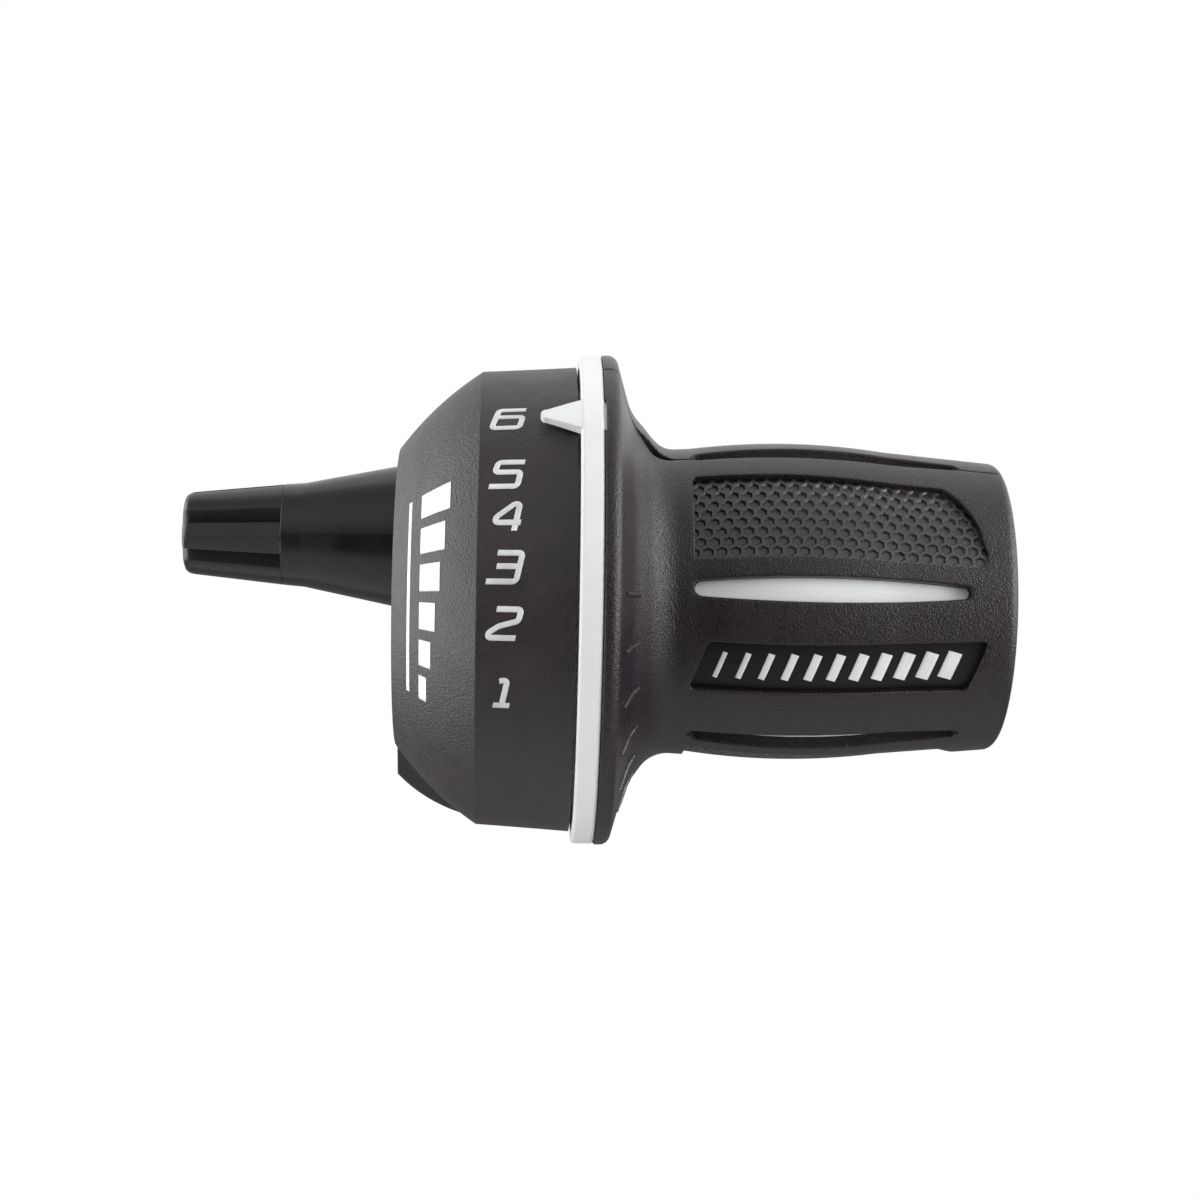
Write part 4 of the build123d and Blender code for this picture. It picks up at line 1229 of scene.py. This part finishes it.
def tick_group():
    """Geometry tree: an uneven ridge along the bell's slope, set around the bar."""
    inputs = {
        "Path": "Geometry",
        "Ticks": "Int",
        "Tick turn": "Float",
        "Ridge radius": "Float",
        "Seed": "Float",
        "Finish": "Material",
    }
    tree, given, sink = node_group("bell_ticks", inputs)
    path = add_node(tree, "GeometryNodeMeshToCurve", {"Mesh": given["Path"]}).outputs["Curve"]
    wave = {"W": given["Seed"], "Scale": tick_swell_scale}
    uneven = add_node(tree, "ShaderNodeTexNoise", wave, noise_dimensions="4D").outputs["Fac"]
    swell = value_between(tree, uneven, *tick_swell, limits=(0.0, 1.0))
    reach = {"Radius": given["Ridge radius"], "Resolution": tick_sides}
    ring = add_node(tree, "GeometryNodeCurvePrimitiveCircle", reach).outputs["Curve"]
    along = add_node(tree, "GeometryNodeSplineParameter").outputs["Factor"]
    ahead = reckon(tree, "ADD", along, tick_end_girth)
    back = reckon(tree, "SUBTRACT", 1 + tick_end_girth, along)
    rounded = reckon(tree, "POWER", reckon(tree, "MULTIPLY", ahead, back), tick_roundness)
    girth = reckon(tree, "MULTIPLY", rounded, swell)
    sweep = {"Curve": path, "Profile Curve": ring, "Scale": girth, "Fill Caps": True}
    ridge = add_node(tree, "GeometryNodeCurveToMesh", sweep).outputs["Mesh"]
    ticks = set_around(tree, ridge, given["Ticks"], given["Tick turn"])
    close_group(tree, ticks, given["Finish"], sink)
    return tree


tick_places = []
for x, radius in cover_profile[slope_first:neck_first]:
    if tick_last < radius < tick_first:
        tick_places.append(around_bar(x, tick_angle, radius) / mm)
tick_edges = [(number, number + 1) for number in range(len(tick_places) - 1)]
tick_path = plain_mesh("tick_path", tick_places, tick_edges, [])
tick_sizes = {
    "Ticks": gear_count,
    "Tick turn": tick_turn,
    "Ridge radius": tick_radius,
    "Seed": tick_seed,
    "Finish": pad_rubber,
}
tick_mesh = shaped_by_nodes(tick_path, tick_group(), tick_sizes)
wrap_mesh(tick_mesh, lambda flat: flat * mm)
tick_mesh.shade_smooth()
new_piece("bell_ticks", tick_mesh, "grip")


# Stage: a pale painted board well below the part, which takes its shadow and throws light back up.
# The surround is a white tent, open on the camera's side: dark there at the part's height, bright above.
floor_half = 0.27
floor_level = -0.30
floor_middle = (0.024, -0.10)
floor_grey = (0.54, 0.54, 0.54, 1.0)
tent_level = 0.6
tent_low_level = 0.30
tent_horizon = (-0.03, 0.03)
opening_level = 1.15
opening_low_level = 0.04
opening_rise = (0.06, 0.55)
opening_edge = (0.2, 0.85)
screen_edge = (0.2, 0.5)
screen_foot = (-0.05, 0.05)
backdrop_white = (1.0, 1.0, 1.0, 1.0)

floor_corners = []
for side_x, side_y in ((-1, -1), (1, -1), (1, 1), (-1, 1)):
    corner_x = floor_middle[0] + side_x * floor_half
    corner_y = floor_middle[1] + side_y * floor_half
    floor_corners.append((corner_x, corner_y, floor_level))
floor_mesh = plain_mesh("floor", floor_corners, [], [(0, 1, 2, 3)])
floor_paint = moulded("floor_paint", floor_grey, rough=0.8, grain=2.0, relief=0.02, spread=0.01)
floor_mesh.materials.append(floor_paint)
floor = in_scene("floor", floor_mesh)

world = bpy.data.worlds.new("tent")
bpy.context.scene.world = world
world.use_nodes = True
tent = world.node_tree
tent.nodes.clear()
way = add_node(tent, "ShaderNodeTexCoord").outputs["Generated"]
heading = add_node(tent, "ShaderNodeSeparateXYZ", {"Vector": way}).outputs
forward = reckon(tent, "MULTIPLY", heading["Y"], -1.0)
tent_wall = value_between(tent, heading["Z"], tent_low_level, tent_level, tent_horizon)
opening = value_between(tent, heading["Z"], opening_low_level, opening_level, opening_rise)
glow = value_between(tent, forward, tent_wall, opening, opening_edge)
tent_light = add_node(tent, "ShaderNodeBackground", {"Strength": glow}).outputs["Background"]
white = add_node(tent, "ShaderNodeBackground", {"Color": backdrop_white, "Strength": 1.0})
backdrop = white.outputs["Background"]

# The camera sees a white backdrop, and so do mirrored rays that go up and away behind the part
ray = add_node(tent, "ShaderNodeLightPath").outputs
straight = reckon(tent, "MAXIMUM", ray["Is Camera Ray"], ray["Is Transmission Ray"])
behind = value_between(tent, heading["Y"], 0.0, 1.0, screen_edge)
above = value_between(tent, heading["Z"], 0.0, 1.0, screen_foot)
mirrored = reckon(tent, "MULTIPLY", ray["Is Glossy Ray"], reckon(tent, "MULTIPLY", above, behind))
seen = reckon(tent, "MAXIMUM", straight, mirrored)
mixed = add_node(tent, "ShaderNodeMixShader", {"Fac": seen, 1: tent_light, 2: backdrop})
add_node(tent, "ShaderNodeOutputWorld", {"Surface": mixed.outputs["Shader"]})


# Lamps: a large softbox at each end of the bar, weaker ones above it and high in front, and two fills low
# in front, beside the camera. A grid on the left fill keeps its light on the part, and a lamp is set by
# how bright its face looks.
part_middle = Vector((0.024, 0.0, 0.0))
fill_grid = radians(50)


def softbox(name, place, width, height, brightness, grid=None):
    """Rectangular lamp aimed at the part, its face of a given brightness; a grid narrows its light."""
    lamp = bpy.data.lights.new(name, "AREA")
    lamp.shape = "RECTANGLE"
    lamp.size = width
    lamp.size_y = height
    lamp.energy = brightness * pi * width * height
    if grid:
        lamp.spread = grid
        lamp.energy *= 1 - grid / 2 / tan(grid / 2)
    light = in_scene(name, lamp)
    light.location = place
    light.rotation_euler = (part_middle - Vector(place)).to_track_quat("-Z", "Y").to_euler()


softbox("left_softbox", (-0.55, 0.08, 0.08), width=0.6, height=0.8, brightness=3.6)
softbox("right_softbox", (0.58, -0.06, 0.18), width=0.5, height=0.5, brightness=6.0)
softbox("top_softbox", (0.13, 0.10, 0.52), width=0.6, height=0.36, brightness=0.74)
softbox("front_softbox", (0.37, -0.60, 0.36), width=0.5, height=0.4, brightness=1.3)
softbox("left_fill", (-0.64, -0.34, -0.20), width=0.35, height=0.6, brightness=8.2, grid=fill_grid)
softbox("right_fill", (0.64, -0.38, -0.08), width=0.35, height=0.6, brightness=3.7)


# Camera: level with the bar, a little to the left of square, rolled by one degree.
# Its lens is half as long again as a normal one, and its distance gives the photo's perspective.
camera_sensor = 36.0
camera_lens = 73.5
camera_distance = 0.292
camera_yaw = radians(1.9)
camera_roll = radians(1.0)
camera_target = Vector((0.0239, 0.0, 0.0))
camera_data = bpy.data.cameras.new("camera")
camera_data.sensor_width = camera_sensor
camera_data.lens = camera_lens
camera = in_scene("camera", camera_data)
camera.location = camera_target + camera_distance * Vector((-sin(camera_yaw), -cos(camera_yaw), 0.0))
facing = (camera_target - camera.location).to_track_quat("-Z", "Y")
camera.rotation_euler = (facing @ Quaternion((0.0, 0.0, 1.0), camera_roll)).to_euler()
bpy.context.scene.camera = camera
bpy.context.scene.view_settings.view_transform = "Standard"
